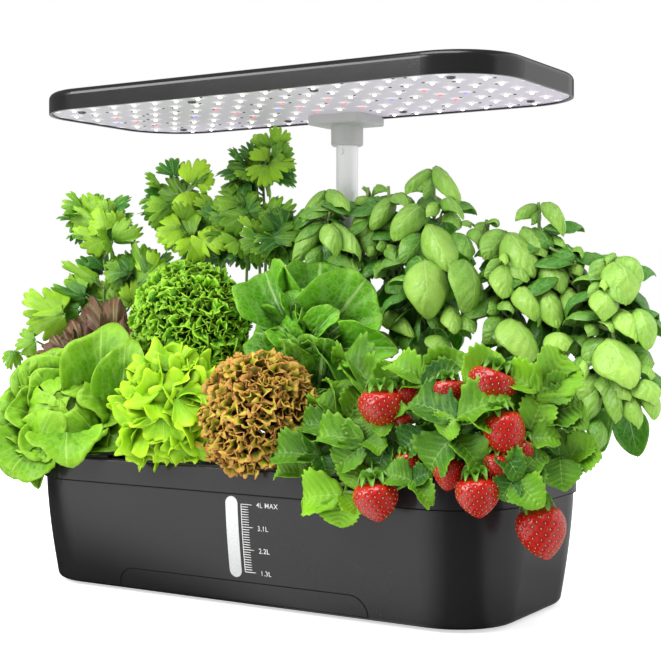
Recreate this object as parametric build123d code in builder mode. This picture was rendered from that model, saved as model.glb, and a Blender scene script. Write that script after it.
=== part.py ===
"""Countertop hydroponic garden: water tank, lift-off deck with twelve pods, telescopic pole and grow lamp.

Origin at the centre of the tank's footprint on the table, +Z up, -Y the front with the water window.
Lengths are in millimetres.
"""

from build123d import *
import os

os.makedirs("parts", exist_ok=True)

# Tank, whose wall leans in towards its foot
TANK_LENGTH = 400.0
TANK_WIDTH = 173.0
TANK_CORNER = 52.5
TANK_INSET = 9.4
TANK_CURVE = 1.5
TANK_WALL = 2.5
TANK_FLOOR = 3.0
TANK_ROUND = 5.0
SEAM_Z = 80.5
FOOT_HEIGHT = 2.0
FOOT_RADIUS = 7.0
FOOT_SETBACK = 45.0

# Water window and the clip-in panel at the tank's front
WINDOW_WIDTH = 10.4
WINDOW_HEIGHT = 57.3
WINDOW_X = 1.0
WINDOW_TOP_MARGIN = 1.8
PANEL_WIDTH = 212.0
PANEL_TOP = 19.0
PANEL_BOTTOM = 4.0
PANEL_CORNER = 14.0
PANEL_THICKNESS = 1.2
PANEL_GROOVE = 0.8
TRIM_CLEARANCE = 0.1

# Lid with the sunken planting deck
LID_OVERHANG = 1.9
LID_HEIGHT = 17.2
LID_WALL = 2.6
LID_EDGE = 0.8
DECK_SINK = 7.5
DECK_THICKNESS = 2.5
LIP_DEPTH = 6.0
LIP_WALL = 2.0
LIP_CLEARANCE = 0.6

# Pods, spread evenly over the deck
POD_PITCH_X = TANK_LENGTH / 5
POD_PITCH_Y = TANK_WIDTH * 0.3
BASKET_RADIUS = 16.0
BASKET_TIP_RADIUS = 13.0
BASKET_DEPTH = 42.0
BASKET_WALL = 1.5
BASKET_RIM_RADIUS = 19.0
BASKET_RIM_HEIGHT = 1.5
BASKET_CLEARANCE = 0.4
SLOT_WIDTH = 6.0
SLOT_HEIGHT = 24.0
SLOT_COUNT = 6
SPONGE_CLEARANCE = 0.3
STEM_RADIUS = 4.0
STEM_FORK = 10.0
BRANCH_RADIUS = 2.5

# Filling hatch, between the pods at the right
HATCH_X = POD_PITCH_X * 1.4
HATCH_LENGTH = 52.0
HATCH_WIDTH = 34.0
HATCH_CORNER = 8.0
HATCH_LEDGE = 3.0
HATCH_THICKNESS = 2.5
TAB_LENGTH = 14.0
TAB_HEIGHT = 5.0
TAB_THICKNESS = 2.0

# Pump, hung under the deck near the tank's right end
PUMP_SETBACK = 36.0
PUMP_X = TANK_LENGTH / 2 - PUMP_SETBACK
PUMP_LENGTH = 34.0
PUMP_WIDTH = 30.0
PUMP_HEIGHT = 30.0
PUMP_FLOOR_GAP = 8.0
PUMP_WALL = 3.0
PUMP_COVER = 3.0
ROTOR_RADIUS = 6.0
ROTOR_LENGTH = 18.0
IMPELLER_RADIUS = 10.0
IMPELLER_LENGTH = 6.0
ROTOR_CLEARANCE = 0.8
SHAFT_RADIUS = 1.0
SHAFT_CLEARANCE = 0.05
BLADE_THICKNESS = 1.5
BLADE_COUNT = 4
GRILLE_SLOT = 2.0
GRILLE_COUNT = 4
RISER_RADIUS = 5.0
RISER_WALL = 1.2
OUTLET_RADIUS = 2.4

# Pole
POLE_Y = 70.0
TUBE_RADIUS = 8.5
TUBE_WALL = 1.2
TUBE_OVERLAP = 140.0
SLEEVE_WALL = 1.2
SLIDE_CLEARANCE = 0.3
SLEEVE_TOP = 250.0
COLLAR_RADIUS = 12.5
COLLAR_HEIGHT = 14.0
COLLAR_WRAP = 10.0
SOCKET_WALL = 3.0
SOCKET_RISE = 14.0
SOCKET_FLOOR = 1.5
FIT_CLEARANCE = 0.05
LOCK_RADIUS = 2.0
LOCK_DROP = 4.7
LOCK_PROUD = 1.1
LOCK_TRAVEL = 1.1
LOCK_FLANGE_RADIUS = 3.0
LOCK_FLANGE = 1.0
SPRING_STRIP = 0.5
SPRING_WIDTH = 4.0
SPRING_LENGTH = 14.0

# Lamp head
LAMP_BOTTOM = 357.0
LAMP_LENGTH = 395.0
LAMP_WIDTH = 173.5
LAMP_CORNER = 50.2
LAMP_HEIGHT = 16.0
LAMP_Y = 2.6
LAMP_WALL = 2.2
LAMP_ROUND = 5.0
LAMP_RIM_WALL = 2.4
BOARD_SINK = 1.2
BOARD_THICKNESS = 1.6
BOARD_CLEARANCE = 0.3
LED_SIZE = 2.8
LED_THICKNESS = 0.7
LED_PITCH_X = 19.5
LED_PITCH_Y = 24.5
LED_COLUMNS = 19
LED_ROWS = 7
SCREW_RADIUS = 3.0
SCREW_HEAD = 1.2
SCREW_SHANK_RADIUS = 1.3
SCREW_X = 105.0
SCREW_Y = 63.0
BOSS_RADIUS = 3.5

# Bracket that carries the lamp on the pole
BRACKET_WIDTH = 48.0
BRACKET_DEPTH = 42.0
BRACKET_THICKNESS = 6.0
BRACKET_CORNER = 5.0
BRACKET_BOSS_RADIUS = 12.5
BRACKET_BOSS_HEIGHT = 16.0
BRACKET_ROUND = 2.0
BRACKET_ROOF = 2.0

# Controls on top of the lamp and the power inlet at the lid's back
BUTTON_RADIUS = 5.0
BUTTON_PITCH = 18.0
BUTTON_Y = 62.0
BUTTON_PROUD = 1.0
BUTTON_TRAVEL = 0.8
BUTTON_SKIRT = 1.2
BUTTON_CLEARANCE = 0.15
PCB_LENGTH = 60.0
PCB_WIDTH = 24.0
PCB_THICKNESS = 1.6
SWITCH_SIZE = 6.0
SWITCH_HEIGHT = 2.6
INLET_X = 34.0
INLET_RADIUS = 4.5
INLET_BORE = 2.8
INLET_PIN = 1.0
INLET_LENGTH = 10.0
INLET_HOUSING = 2.5

# Levels and sizes that follow from the ones above
TANK_BASE = FOOT_HEIGHT
LID_LENGTH = TANK_LENGTH + 2 * LID_OVERHANG
LID_WIDTH = TANK_WIDTH + 2 * LID_OVERHANG
LID_CORNER = TANK_CORNER + LID_OVERHANG
LID_TOP = SEAM_Z + LID_HEIGHT
DECK_TOP = LID_TOP - DECK_SINK
DECK_UNDER = DECK_TOP - DECK_THICKNESS
SLEEVE_RADIUS = TUBE_RADIUS + SLIDE_CLEARANCE + SLEEVE_WALL
SOCKET_RADIUS = SLEEVE_RADIUS + SOCKET_WALL
SOCKET_BASE = SEAM_Z + SOCKET_FLOOR
LAMP_TOP = LAMP_BOTTOM + LAMP_HEIGHT
BOARD_UNDER = LAMP_BOTTOM + BOARD_SINK
BOARD_TOP = BOARD_UNDER + BOARD_THICKNESS
BRACKET_UNDER = LAMP_BOTTOM - BRACKET_THICKNESS
TUBE_TOP = BRACKET_UNDER + BRACKET_THICKNESS - BRACKET_ROOF
TUBE_BASE = SLEEVE_TOP - TUBE_OVERLAP
LOCK_Z = BRACKET_UNDER - BRACKET_BOSS_HEIGHT - LOCK_DROP
PCB_TOP = LAMP_TOP - LAMP_WALL - BUTTON_SKIRT - BUTTON_TRAVEL - BUTTON_CLEARANCE - SWITCH_HEIGHT
PUMP_BASE = FOOT_HEIGHT + TANK_FLOOR + PUMP_FLOOR_GAP
PUMP_TOP = PUMP_BASE + PUMP_HEIGHT
PUMP_AXIS_Z = PUMP_BASE + PUMP_HEIGHT / 2


def save(builder, name):
    """Label a finished piece and write its STEP file."""
    builder.part.label = name
    export_step(builder.part, f"parts/{name}.step")


def wall_inset(z):
    """How far the tank's wall stands in at height z, from its line at the seam."""
    share = max(0.0, 1 - (z - TANK_BASE) / (SEAM_Z - TANK_BASE))
    return TANK_INSET * share**TANK_CURVE


def tank_form(offset, low, high, sections=4):
    """Solid inside the tank's outer surface moved in by offset, from low to high."""
    with BuildPart() as form:
        for step in range(sections):
            z = low + (high - low) * step / (sections - 1)
            inset = offset + wall_inset(z)
            with BuildSketch(Plane.XY.offset(z)):
                RectangleRounded(TANK_LENGTH - 2 * inset, TANK_WIDTH - 2 * inset, TANK_CORNER - inset)
        loft()
    return form.part


def rounded_block(length, width, corner, low, high):
    """Upright block with rounded corners, centred on the Z axis."""
    with BuildPart() as block:
        with BuildSketch(Plane.XY.offset(low)):
            RectangleRounded(length, width, corner)
        extrude(amount=high - low)
    return block.part


def panel_outline(margin):
    """Solid that cuts the front panel's outline out of the tank's wall, smaller by margin all round."""
    with BuildPart() as outline:
        with BuildSketch(Plane.XZ.offset(TANK_WIDTH / 2 - TANK_INSET - TANK_WALL)) as face:
            with Locations((0, (PANEL_TOP + PANEL_BOTTOM) / 2)):
                Rectangle(PANEL_WIDTH - 2 * margin, PANEL_TOP - PANEL_BOTTOM - 2 * margin)
            fillet(face.vertices().group_by(Axis.Y)[-1], PANEL_CORNER - margin)
        extrude(amount=TANK_INSET + TANK_WALL + LID_OVERHANG)
    return outline.part


def window_outline(margin):
    """Solid that cuts the upright window's outline out of the tank's wall, smaller by margin all round."""
    middle = SEAM_Z - WINDOW_TOP_MARGIN - WINDOW_HEIGHT / 2
    with BuildPart() as outline:
        with BuildSketch(Plane.XZ.offset(TANK_WIDTH / 2 - TANK_INSET - 2 * TANK_WALL)):
            with Locations((WINDOW_X, middle)):
                SlotOverall(WINDOW_HEIGHT - 2 * margin, WINDOW_WIDTH - 2 * margin, rotation=90)
        extrude(amount=TANK_INSET + 2 * TANK_WALL + LID_OVERHANG)
    return outline.part


# ---- Tank: one moulding, open at the top, with the window's slot and the panel's shallow pocket ----

outer_form = tank_form(0, TANK_BASE, SEAM_Z)
inner_form = tank_form(TANK_WALL, TANK_BASE + TANK_FLOOR, SEAM_Z)
panel_back_form = tank_form(PANEL_THICKNESS, TANK_BASE, SEAM_Z)
panel_pocket_form = tank_form(PANEL_THICKNESS + TRIM_CLEARANCE, TANK_BASE, SEAM_Z)

with BuildPart() as panel_pocket:
    add(panel_outline(0))
    add(panel_pocket_form, mode=Mode.SUBTRACT)

with BuildPart() as tank:
    add(outer_form)
    fillet(tank.faces().sort_by(Axis.Z)[0].edges(), TANK_ROUND)
    add(inner_form, mode=Mode.SUBTRACT)
    add(window_outline(0), mode=Mode.SUBTRACT)
    add(panel_pocket.part, mode=Mode.SUBTRACT)
save(tank, "tank")

with BuildPart() as level_window:
    add(outer_form)
    add(window_outline(TRIM_CLEARANCE), mode=Mode.INTERSECT)
    add(inner_form, mode=Mode.SUBTRACT)
save(level_window, "level_window")

with BuildPart() as front_panel:
    add(outer_form)
    fillet(front_panel.faces().sort_by(Axis.Z)[0].edges(), TANK_ROUND)
    add(panel_outline(PANEL_GROOVE), mode=Mode.INTERSECT)
    add(panel_back_form, mode=Mode.SUBTRACT)
save(front_panel, "front_panel")

# Four feet at the corners, and one in the middle that keeps the full tank's floor from sagging
with BuildPart() as feet:
    with GridLocations(TANK_LENGTH - 2 * FOOT_SETBACK, TANK_WIDTH - 2 * FOOT_SETBACK, 2, 2):
        Cylinder(FOOT_RADIUS, FOOT_HEIGHT, align=(Align.CENTER, Align.CENTER, Align.MIN))
    Cylinder(FOOT_RADIUS, FOOT_HEIGHT, align=(Align.CENTER, Align.CENTER, Align.MIN))
save(feet, "feet")


# ---- Pods: five in front, three in the middle beside the hatch, four behind on both sides of the pole ----

FRONT, MIDDLE, BACK = -1, 0, 1
POD_CELLS = (
    [(column, FRONT) for column in (-2, -1, 0, 1, 2)]
    + [(column, MIDDLE) for column in (-2, -1, 0)]
    + [(column, BACK) for column in (-2, -1, 1, 2)]
)


def pod_place(cell):
    """Centre of a pod on the deck, from its column and row."""
    return cell[0] * POD_PITCH_X, cell[1] * POD_PITCH_Y


# ---- Lid and planting deck: one moulding with a raised rim, a locating lip and the pole's socket ----

deck_inside = (LID_LENGTH - 2 * LID_WALL, LID_WIDTH - 2 * LID_WALL, LID_CORNER - LID_WALL)
lip_step = TANK_WALL + LIP_CLEARANCE
lip_outside = (TANK_LENGTH - 2 * lip_step, TANK_WIDTH - 2 * lip_step, TANK_CORNER - lip_step)
lip_inside = tuple(
    size - LIP_WALL * share for size, share in zip(lip_outside, (2, 2, 1))
)
inlet_face_y = LID_WIDTH / 2
inlet_z = DECK_TOP
housing_side = 2 * (INLET_RADIUS + INLET_HOUSING)

with BuildPart() as deck:
    add(rounded_block(LID_LENGTH, LID_WIDTH, LID_CORNER, SEAM_Z, LID_TOP))
    add(rounded_block(*deck_inside, DECK_TOP, LID_TOP), mode=Mode.SUBTRACT)
    fillet(deck.faces().sort_by(Axis.Z)[-1].edges(), LID_EDGE)
    add(rounded_block(*lip_outside, SEAM_Z - LIP_DEPTH, SEAM_Z))
    add(rounded_block(*lip_inside, SEAM_Z - LIP_DEPTH, DECK_UNDER), mode=Mode.SUBTRACT)
    with BuildSketch(Plane.XY.offset(SEAM_Z)):
        with Locations((0, POLE_Y)):
            Circle(SOCKET_RADIUS)
    extrude(amount=DECK_TOP + SOCKET_RISE - SEAM_Z)
    with BuildSketch(Plane.XZ.offset(-inlet_face_y + LID_WALL / 2)):
        with Locations((INLET_X, inlet_z)):
            Rectangle(housing_side, housing_side)
    extrude(amount=INLET_LENGTH)
    with BuildSketch(Plane.XZ.offset(-inlet_face_y)):
        with Locations((INLET_X, inlet_z)):
            Circle(INLET_RADIUS + FIT_CLEARANCE)
    extrude(amount=INLET_LENGTH, mode=Mode.SUBTRACT)
    with BuildSketch(Plane.XY.offset(SOCKET_BASE)):
        with Locations((0, POLE_Y)):
            Circle(SLEEVE_RADIUS + FIT_CLEARANCE)
    extrude(amount=DECK_TOP + SOCKET_RISE - SOCKET_BASE, mode=Mode.SUBTRACT)
    with BuildSketch(Plane.XY.offset(DECK_UNDER)):
        with Locations([pod_place(cell) for cell in POD_CELLS]):
            Circle(BASKET_RADIUS + BASKET_CLEARANCE)
        with Locations((HATCH_X, 0)):
            RectangleRounded(
                HATCH_LENGTH - 2 * HATCH_LEDGE, HATCH_WIDTH - 2 * HATCH_LEDGE, HATCH_CORNER - HATCH_LEDGE
            )
    extrude(amount=DECK_THICKNESS, mode=Mode.SUBTRACT)
save(deck, "planting_deck")

with BuildPart() as power_inlet:
    with BuildSketch(Plane.XZ.offset(-inlet_face_y)):
        with Locations((INLET_X, inlet_z)):
            Circle(INLET_RADIUS)
    extrude(amount=INLET_LENGTH)
    with BuildSketch(Plane.XZ.offset(-inlet_face_y)):
        with Locations((INLET_X, inlet_z)):
            Circle(INLET_BORE)
            Circle(INLET_PIN, mode=Mode.SUBTRACT)
    extrude(amount=INLET_LENGTH - INLET_PIN, mode=Mode.SUBTRACT)
save(power_inlet, "power_inlet")


# ---- Filling hatch: a plate that lies over its opening and has a tab to lift it by ----

with BuildPart() as hatch_cover:
    with BuildSketch(Plane.XY.offset(DECK_TOP)):
        with Locations((HATCH_X, 0)):
            RectangleRounded(HATCH_LENGTH, HATCH_WIDTH, HATCH_CORNER)
    extrude(amount=HATCH_THICKNESS)
    fillet(hatch_cover.faces().sort_by(Axis.Z)[-1].edges(), HATCH_THICKNESS / 3)
    with BuildSketch(Plane.XY.offset(DECK_TOP + HATCH_THICKNESS)):
        with Locations((HATCH_X, 0)):
            SlotOverall(TAB_LENGTH, TAB_THICKNESS)
    extrude(amount=TAB_HEIGHT)
save(hatch_cover, "hatch_cover")


# ---- Pods' own pieces ----


def basket_solid(plane):
    """Net cup with a rim that rests on the deck, slots round its wall and a hole in its floor."""
    with BuildPart() as basket:
        with BuildSketch(plane.offset(-BASKET_DEPTH)):
            Circle(BASKET_TIP_RADIUS)
        with BuildSketch(plane):
            Circle(BASKET_RADIUS)
        loft()
        with BuildSketch(plane):
            Circle(BASKET_RIM_RADIUS)
        extrude(amount=BASKET_RIM_HEIGHT)
        with BuildSketch(plane.offset(BASKET_WALL - BASKET_DEPTH)):
            Circle(BASKET_TIP_RADIUS - BASKET_WALL)
        with BuildSketch(plane.offset(BASKET_RIM_HEIGHT)):
            Circle(BASKET_RADIUS - BASKET_WALL)
        loft(mode=Mode.SUBTRACT)
        with BuildSketch(plane.offset(-BASKET_DEPTH)):
            Circle(BASKET_TIP_RADIUS / 2)
        extrude(amount=BASKET_WALL, mode=Mode.SUBTRACT)
        with BuildSketch(plane.offset(-BASKET_DEPTH + BASKET_TIP_RADIUS / 2)):
            with PolarLocations(BASKET_RADIUS, SLOT_COUNT):
                Rectangle(BASKET_RADIUS, SLOT_WIDTH)
        extrude(amount=SLOT_HEIGHT, mode=Mode.SUBTRACT)
    return basket


def sponge_solid(plane):
    """Tapered growing sponge that stands on the basket's floor."""
    with BuildPart() as sponge:
        with BuildSketch(plane.offset(BASKET_WALL - BASKET_DEPTH)):
            Circle(BASKET_TIP_RADIUS - BASKET_WALL - SPONGE_CLEARANCE)
        with BuildSketch(plane.offset(BASKET_RIM_HEIGHT)):
            Circle(BASKET_RADIUS - BASKET_WALL - SPONGE_CLEARANCE)
        loft()
    return sponge


# Outline of a leafy crown, as shares of its height and of its half width
CROWN_PROFILE = ((0, 0.4), (0.15, 0.75), (0.45, 1.0), (0.75, 0.88), (0.92, 0.6), (1, 0.35))


def crown_solid(plane, dx, dy, low, high, reach_x, reach_y):
    """Bushy crown of leaves, placed and raised from the pod's centre."""
    with BuildPart() as crown:
        for height, width in CROWN_PROFILE:
            with BuildSketch(plane.offset(low + (high - low) * height)):
                with Locations((dx, dy)):
                    Ellipse(reach_x * width, reach_y * width)
        loft(ruled=True)
    return crown.part


def stem_plane(plane, crown):
    """Plane where a crown's branch leaves the stem, looking to the middle of the crown, and the branch's length."""
    start = plane.origin + Vector(0, 0, STEM_FORK - BRANCH_RADIUS)
    end = plane.origin + Vector(crown[0], crown[1], (crown[2] + crown[3]) / 2)
    return Plane(start, z_dir=end - start), (end - start).length


# Each plant: its pod, and its crowns as (across, back, low, high, reach across, reach back) from the pod
PLANTS = {
    "butterhead": ((-2, FRONT), [(-12, -16, 9, 110, 56, 47)]),
    "leaf_lettuce": ((-1, FRONT), [(6, -16, 9, 94, 39, 47)]),
    "red_frilly_lettuce": ((0, FRONT), [(8, -16, 9, 98, 41, 47)]),
    "strawberry_left": ((1, FRONT), [(9, -14, 12, 92, 37, 45)]),
    "strawberry_right": ((2, FRONT), [(22, -14, 12, 94, 52, 45)]),
    "oakleaf": ((-2, MIDDLE), [(-36, 1, 25, 134, 66, 20)]),
    "endive": ((-1, MIDDLE), [(-12, 1, 20, 160, 35, 20)]),
    "romaine": ((0, MIDDLE), [(5, 1, 14, 158, 60, 20)]),
    "coriander_left": (
        (-2, BACK),
        [
            (-84, 6, 172, 222, 32, 30),
            (-30, 4, 122, 170, 30, 32),
            (-65, -3, 106, 172, 38, 25),
            (-88, -4, 60, 125, 28, 24),
        ],
    ),
    "coriander_right": (
        (-1, BACK),
        [
            (0, 2, 145, 215, 38, 30),
            (-78, 6, 172, 246, 38, 30),
            (0, 14, 205, 256, 36, 24),
            (36, -6, 148, 200, 20, 22),
            (-42, 0, 142, 200, 34, 29),
        ],
    ),
    "basil_left": (
        (1, BACK),
        [
            (11, -2, 82, 222, 35, 34),
            (-78, -12, 142, 210, 24, 15),
            (-42, 0, 142, 212, 22, 26),
            (-20, 0, 80, 206, 30, 28),
            (18, -34, 78, 160, 27, 22),
        ],
    ),
    "basil_right": (
        (2, BACK),
        [
            (-2, -8, 50, 178, 32, 32),
            (-18, 0, 100, 182, 14, 26),
            (16, -8, 78, 194, 26, 34),
            (36, -8, 86, 172, 24, 32),
            (70, -8, 82, 158, 28, 28),
            (76, -22, 22, 138, 36, 30),
        ],
    ),
}

pod_planes = {name: Plane((*pod_place(cell), DECK_TOP)) for name, (cell, crowns) in PLANTS.items()}
back_planes = [pod_planes[name] for name, (cell, crowns) in PLANTS.items() if cell[1] == BACK]

for name, (cell, crowns) in PLANTS.items():
    if cell[1] != BACK:
        save(basket_solid(pod_planes[name]), f"basket_{name}")
        save(sponge_solid(pod_planes[name]), f"sponge_{name}")

with BuildPart() as back_baskets:
    for plane in back_planes:
        add(basket_solid(plane).part)
save(back_baskets, "baskets_back")

with BuildPart() as back_sponges:
    for plane in back_planes:
        add(sponge_solid(plane).part)
save(back_sponges, "sponges_back")

# Ripe berries that hang clear of the lid's front right corner: (angle round the corner, gap, height above the deck)
BERRY_RADIUS = 13.5
BERRY_TIP = 18.0
BERRY_SHOULDER = 10.0
BERRY_CAP = 2.0
STALK_RADIUS = 1.0
BERRIES = {
    "strawberry_left": [(-105.4, 5.7, -2)],
    "strawberry_right": [(-55.8, 9.5, 6), (-23.9, 3.7, -8)],
}
lid_corner_centre = (LID_LENGTH / 2 - LID_CORNER, LID_CORNER - LID_WIDTH / 2)


def berry_middle(angle, gap, height):
    """Middle of a berry that hangs a gap away from the lid, at an angle round its front right corner."""
    out = Vector(1, 0, 0).rotate(Axis.Z, angle) * (LID_CORNER + gap + BERRY_RADIUS)
    return Vector(*lid_corner_centre, DECK_TOP + height) + out


def stalk_plane(plane, berry, crown):
    """Plane at a berry's cap that looks along its stalk to the middle of the crown, and the stalk's length."""
    start = berry_middle(*berry) + Vector(0, 0, BERRY_SHOULDER + STALK_RADIUS)
    end = plane.origin + Vector(crown[0], crown[1], (crown[2] + crown[3]) / 2)
    return Plane(start, z_dir=end - start), (end - start).length


for name, (cell, crowns) in PLANTS.items():
    pod_plane = pod_planes[name]
    with BuildPart() as plant:
        with BuildSketch(pod_plane.offset(BASKET_RIM_HEIGHT)):
            Circle(STEM_RADIUS)
        extrude(amount=STEM_FORK - BASKET_RIM_HEIGHT)
        for crown in crowns:
            add(crown_solid(pod_plane, *crown))
            stem, length = stem_plane(pod_plane, crown)
            with BuildSketch(stem):
                Circle(BRANCH_RADIUS)
            extrude(amount=length)
        for berry in BERRIES.get(name, []):
            stalk, length = stalk_plane(pod_plane, berry, crowns[0])
            with BuildSketch(stalk):
                Circle(STALK_RADIUS)
            extrude(amount=length)
    save(plant, name)

for name, berries in BERRIES.items():
    with BuildPart() as fruit:
        for berry in berries:
            middle = berry_middle(*berry)
            with BuildSketch(Plane(middle, x_dir=(1, 0, 0), z_dir=(0, -1, 0))):
                with BuildLine():
                    ThreePointArc(
                        (0, -BERRY_TIP),
                        (BERRY_RADIUS * 0.74, -BERRY_TIP * 0.5),
                        (BERRY_RADIUS, 0),
                    )
                    ThreePointArc(
                        (BERRY_RADIUS, 0),
                        (BERRY_RADIUS * 0.78, BERRY_SHOULDER * 0.72),
                        (BERRY_CAP, BERRY_SHOULDER),
                    )
                    Polyline((BERRY_CAP, BERRY_SHOULDER), (0, BERRY_SHOULDER), (0, -BERRY_TIP))
                make_face()
            revolve(axis=Axis(middle, (0, 0, 1)))
    save(fruit, name.replace("strawberry", "berries"))


# ---- Pump: magnet rotor on a fixed shaft, in a sealed body under the deck ----

pump_face_x = PUMP_X - PUMP_LENGTH / 2
rotor_start_x = pump_face_x + ROTOR_CLEARANCE
impeller_end_x = rotor_start_x + IMPELLER_LENGTH
rotor_end_x = impeller_end_x + ROTOR_LENGTH
chamber_end_x = rotor_end_x + ROTOR_CLEARANCE
shaft_end_x = chamber_end_x + PUMP_WALL
riser_x = rotor_start_x + IMPELLER_LENGTH / 2


def pump_plane(x):
    """Plane across the pump's axis at x, facing +X."""
    return Plane((x, 0, PUMP_AXIS_Z), x_dir=(0, 1, 0), z_dir=(1, 0, 0))


with BuildPart() as pump_body:
    with BuildSketch(pump_plane(pump_face_x)):
        RectangleRounded(PUMP_WIDTH, PUMP_HEIGHT, PUMP_WALL)
    extrude(amount=PUMP_LENGTH)
    with BuildSketch(pump_plane(pump_face_x)):
        Circle(IMPELLER_RADIUS + ROTOR_CLEARANCE)
    extrude(amount=impeller_end_x - pump_face_x, mode=Mode.SUBTRACT)
    with BuildSketch(pump_plane(pump_face_x)):
        Circle(ROTOR_RADIUS + ROTOR_CLEARANCE)
    extrude(amount=chamber_end_x - pump_face_x, mode=Mode.SUBTRACT)
    with BuildSketch(pump_plane(pump_face_x)):
        Circle(SHAFT_RADIUS + SHAFT_CLEARANCE)
    extrude(amount=shaft_end_x - pump_face_x, mode=Mode.SUBTRACT)
    with BuildSketch(Plane((riser_x, 0, PUMP_AXIS_Z + IMPELLER_RADIUS / 2))):
        Circle(OUTLET_RADIUS)
    extrude(amount=(PUMP_HEIGHT - IMPELLER_RADIUS) / 2, mode=Mode.SUBTRACT)
save(pump_body, "pump_body")

with BuildPart() as pump_cover:
    with BuildSketch(pump_plane(pump_face_x - PUMP_COVER)):
        RectangleRounded(PUMP_WIDTH, PUMP_HEIGHT, PUMP_WALL)
        with GridLocations(0, 2 * GRILLE_SLOT, 1, GRILLE_COUNT):
            Rectangle(IMPELLER_RADIUS, GRILLE_SLOT, mode=Mode.SUBTRACT)
    extrude(amount=PUMP_COVER)
save(pump_cover, "pump_cover")

with BuildPart() as pump_shaft:
    with BuildSketch(pump_plane(pump_face_x)):
        Circle(SHAFT_RADIUS)
    extrude(amount=shaft_end_x - pump_face_x)
save(pump_shaft, "pump_shaft")

with BuildPart() as pump_rotor:
    with BuildSketch(pump_plane(impeller_end_x)):
        Circle(ROTOR_RADIUS)
    extrude(amount=ROTOR_LENGTH)
    with BuildSketch(pump_plane(rotor_start_x)):
        Circle(ROTOR_RADIUS / 2)
        with PolarLocations(IMPELLER_RADIUS / 2, BLADE_COUNT):
            Rectangle(IMPELLER_RADIUS, BLADE_THICKNESS)
    extrude(amount=IMPELLER_LENGTH)
    with BuildSketch(pump_plane(rotor_start_x)):
        Circle(SHAFT_RADIUS + SHAFT_CLEARANCE)
    extrude(amount=rotor_end_x - rotor_start_x, mode=Mode.SUBTRACT)
save(pump_rotor, "pump_rotor")

with BuildPart() as riser_tube:
    with BuildSketch(Plane((riser_x, 0, PUMP_TOP))):
        Circle(RISER_RADIUS)
        Circle(RISER_RADIUS - RISER_WALL, mode=Mode.SUBTRACT)
    extrude(amount=DECK_UNDER - PUMP_TOP)
save(riser_tube, "riser_tube")


# ---- Pole: a sleeve fixed in the deck, a collar on its top, and the tube that slides in it ----


def pole_ring(low, high, radius, bore):
    """Ring round the pole's axis between two heights."""
    with BuildPart() as ring:
        with BuildSketch(Plane((0, POLE_Y, low))):
            Circle(radius)
            Circle(bore, mode=Mode.SUBTRACT)
        extrude(amount=high - low)
    return ring.part


with BuildPart() as pole_sleeve:
    add(pole_ring(SOCKET_BASE, SLEEVE_TOP, SLEEVE_RADIUS, TUBE_RADIUS + SLIDE_CLEARANCE))
save(pole_sleeve, "pole_sleeve")

collar_base = SLEEVE_TOP - COLLAR_WRAP
with BuildPart() as slide_collar:
    add(pole_ring(collar_base, SLEEVE_TOP, COLLAR_RADIUS, SLEEVE_RADIUS + FIT_CLEARANCE))
    add(pole_ring(SLEEVE_TOP, collar_base + COLLAR_HEIGHT, COLLAR_RADIUS, TUBE_RADIUS + SLIDE_CLEARANCE / 2))
    fillet(slide_collar.faces().sort_by(Axis.Z)[-1].edges().sort_by(SortBy.LENGTH)[-1], FIT_CLEARANCE * 20)
save(slide_collar, "slide_collar")

with BuildPart() as pole_tube:
    add(pole_ring(TUBE_BASE, TUBE_TOP, TUBE_RADIUS, TUBE_RADIUS - TUBE_WALL))
    with BuildSketch(Plane.XZ.offset(-POLE_Y)):
        with Locations((0, LOCK_Z)):
            Circle(LOCK_RADIUS + BUTTON_CLEARANCE)
    extrude(amount=TUBE_RADIUS, mode=Mode.SUBTRACT)
save(pole_tube, "pole_tube")

lock_face_y = POLE_Y - TUBE_RADIUS - LOCK_PROUD
tube_bore = TUBE_RADIUS - TUBE_WALL
flange_y = POLE_Y - (tube_bore**2 - LOCK_FLANGE_RADIUS**2) ** 0.5 + TRIM_CLEARANCE

with BuildPart() as lock_pin:
    with BuildSketch(Plane.XZ.offset(-flange_y)):
        with Locations((0, LOCK_Z)):
            Circle(LOCK_RADIUS)
    extrude(amount=flange_y - lock_face_y)
    fillet(lock_pin.faces().sort_by(Axis.Y)[0].edges(), LOCK_RADIUS / 4)
    with BuildSketch(Plane.XZ.offset(-flange_y - LOCK_FLANGE)):
        with Locations((0, LOCK_Z)):
            Circle(LOCK_FLANGE_RADIUS)
    extrude(amount=LOCK_FLANGE)
save(lock_pin, "lock_pin")

# The leaf spring is a strip bent to a U, open at the top, behind the pin
spring_front_y = flange_y + LOCK_FLANGE
spring_back_y = POLE_Y + (tube_bore**2 - (SPRING_WIDTH / 2) ** 2) ** 0.5 - LOCK_TRAVEL - TRIM_CLEARANCE
spring_depth = spring_back_y - spring_front_y
with BuildPart() as lock_spring:
    with BuildSketch(Plane.YZ.offset(-SPRING_WIDTH / 2)):
        with BuildLine():
            FilletPolyline(
                (spring_front_y + SPRING_STRIP / 2, LOCK_Z + LOCK_FLANGE_RADIUS),
                (spring_front_y + SPRING_STRIP / 2, LOCK_Z - SPRING_LENGTH),
                (spring_back_y - SPRING_STRIP / 2, LOCK_Z - SPRING_LENGTH),
                (spring_back_y - SPRING_STRIP / 2, LOCK_Z + LOCK_FLANGE_RADIUS),
                radius=spring_depth / 3,
            )
            offset(amount=SPRING_STRIP / 2, kind=Kind.INTERSECTION, side=Side.BOTH)
        make_face()
    extrude(amount=SPRING_WIDTH)
save(lock_spring, "lock_spring")


# ---- Lamp head: hood, light board with its diodes, screws, controls ----

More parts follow.
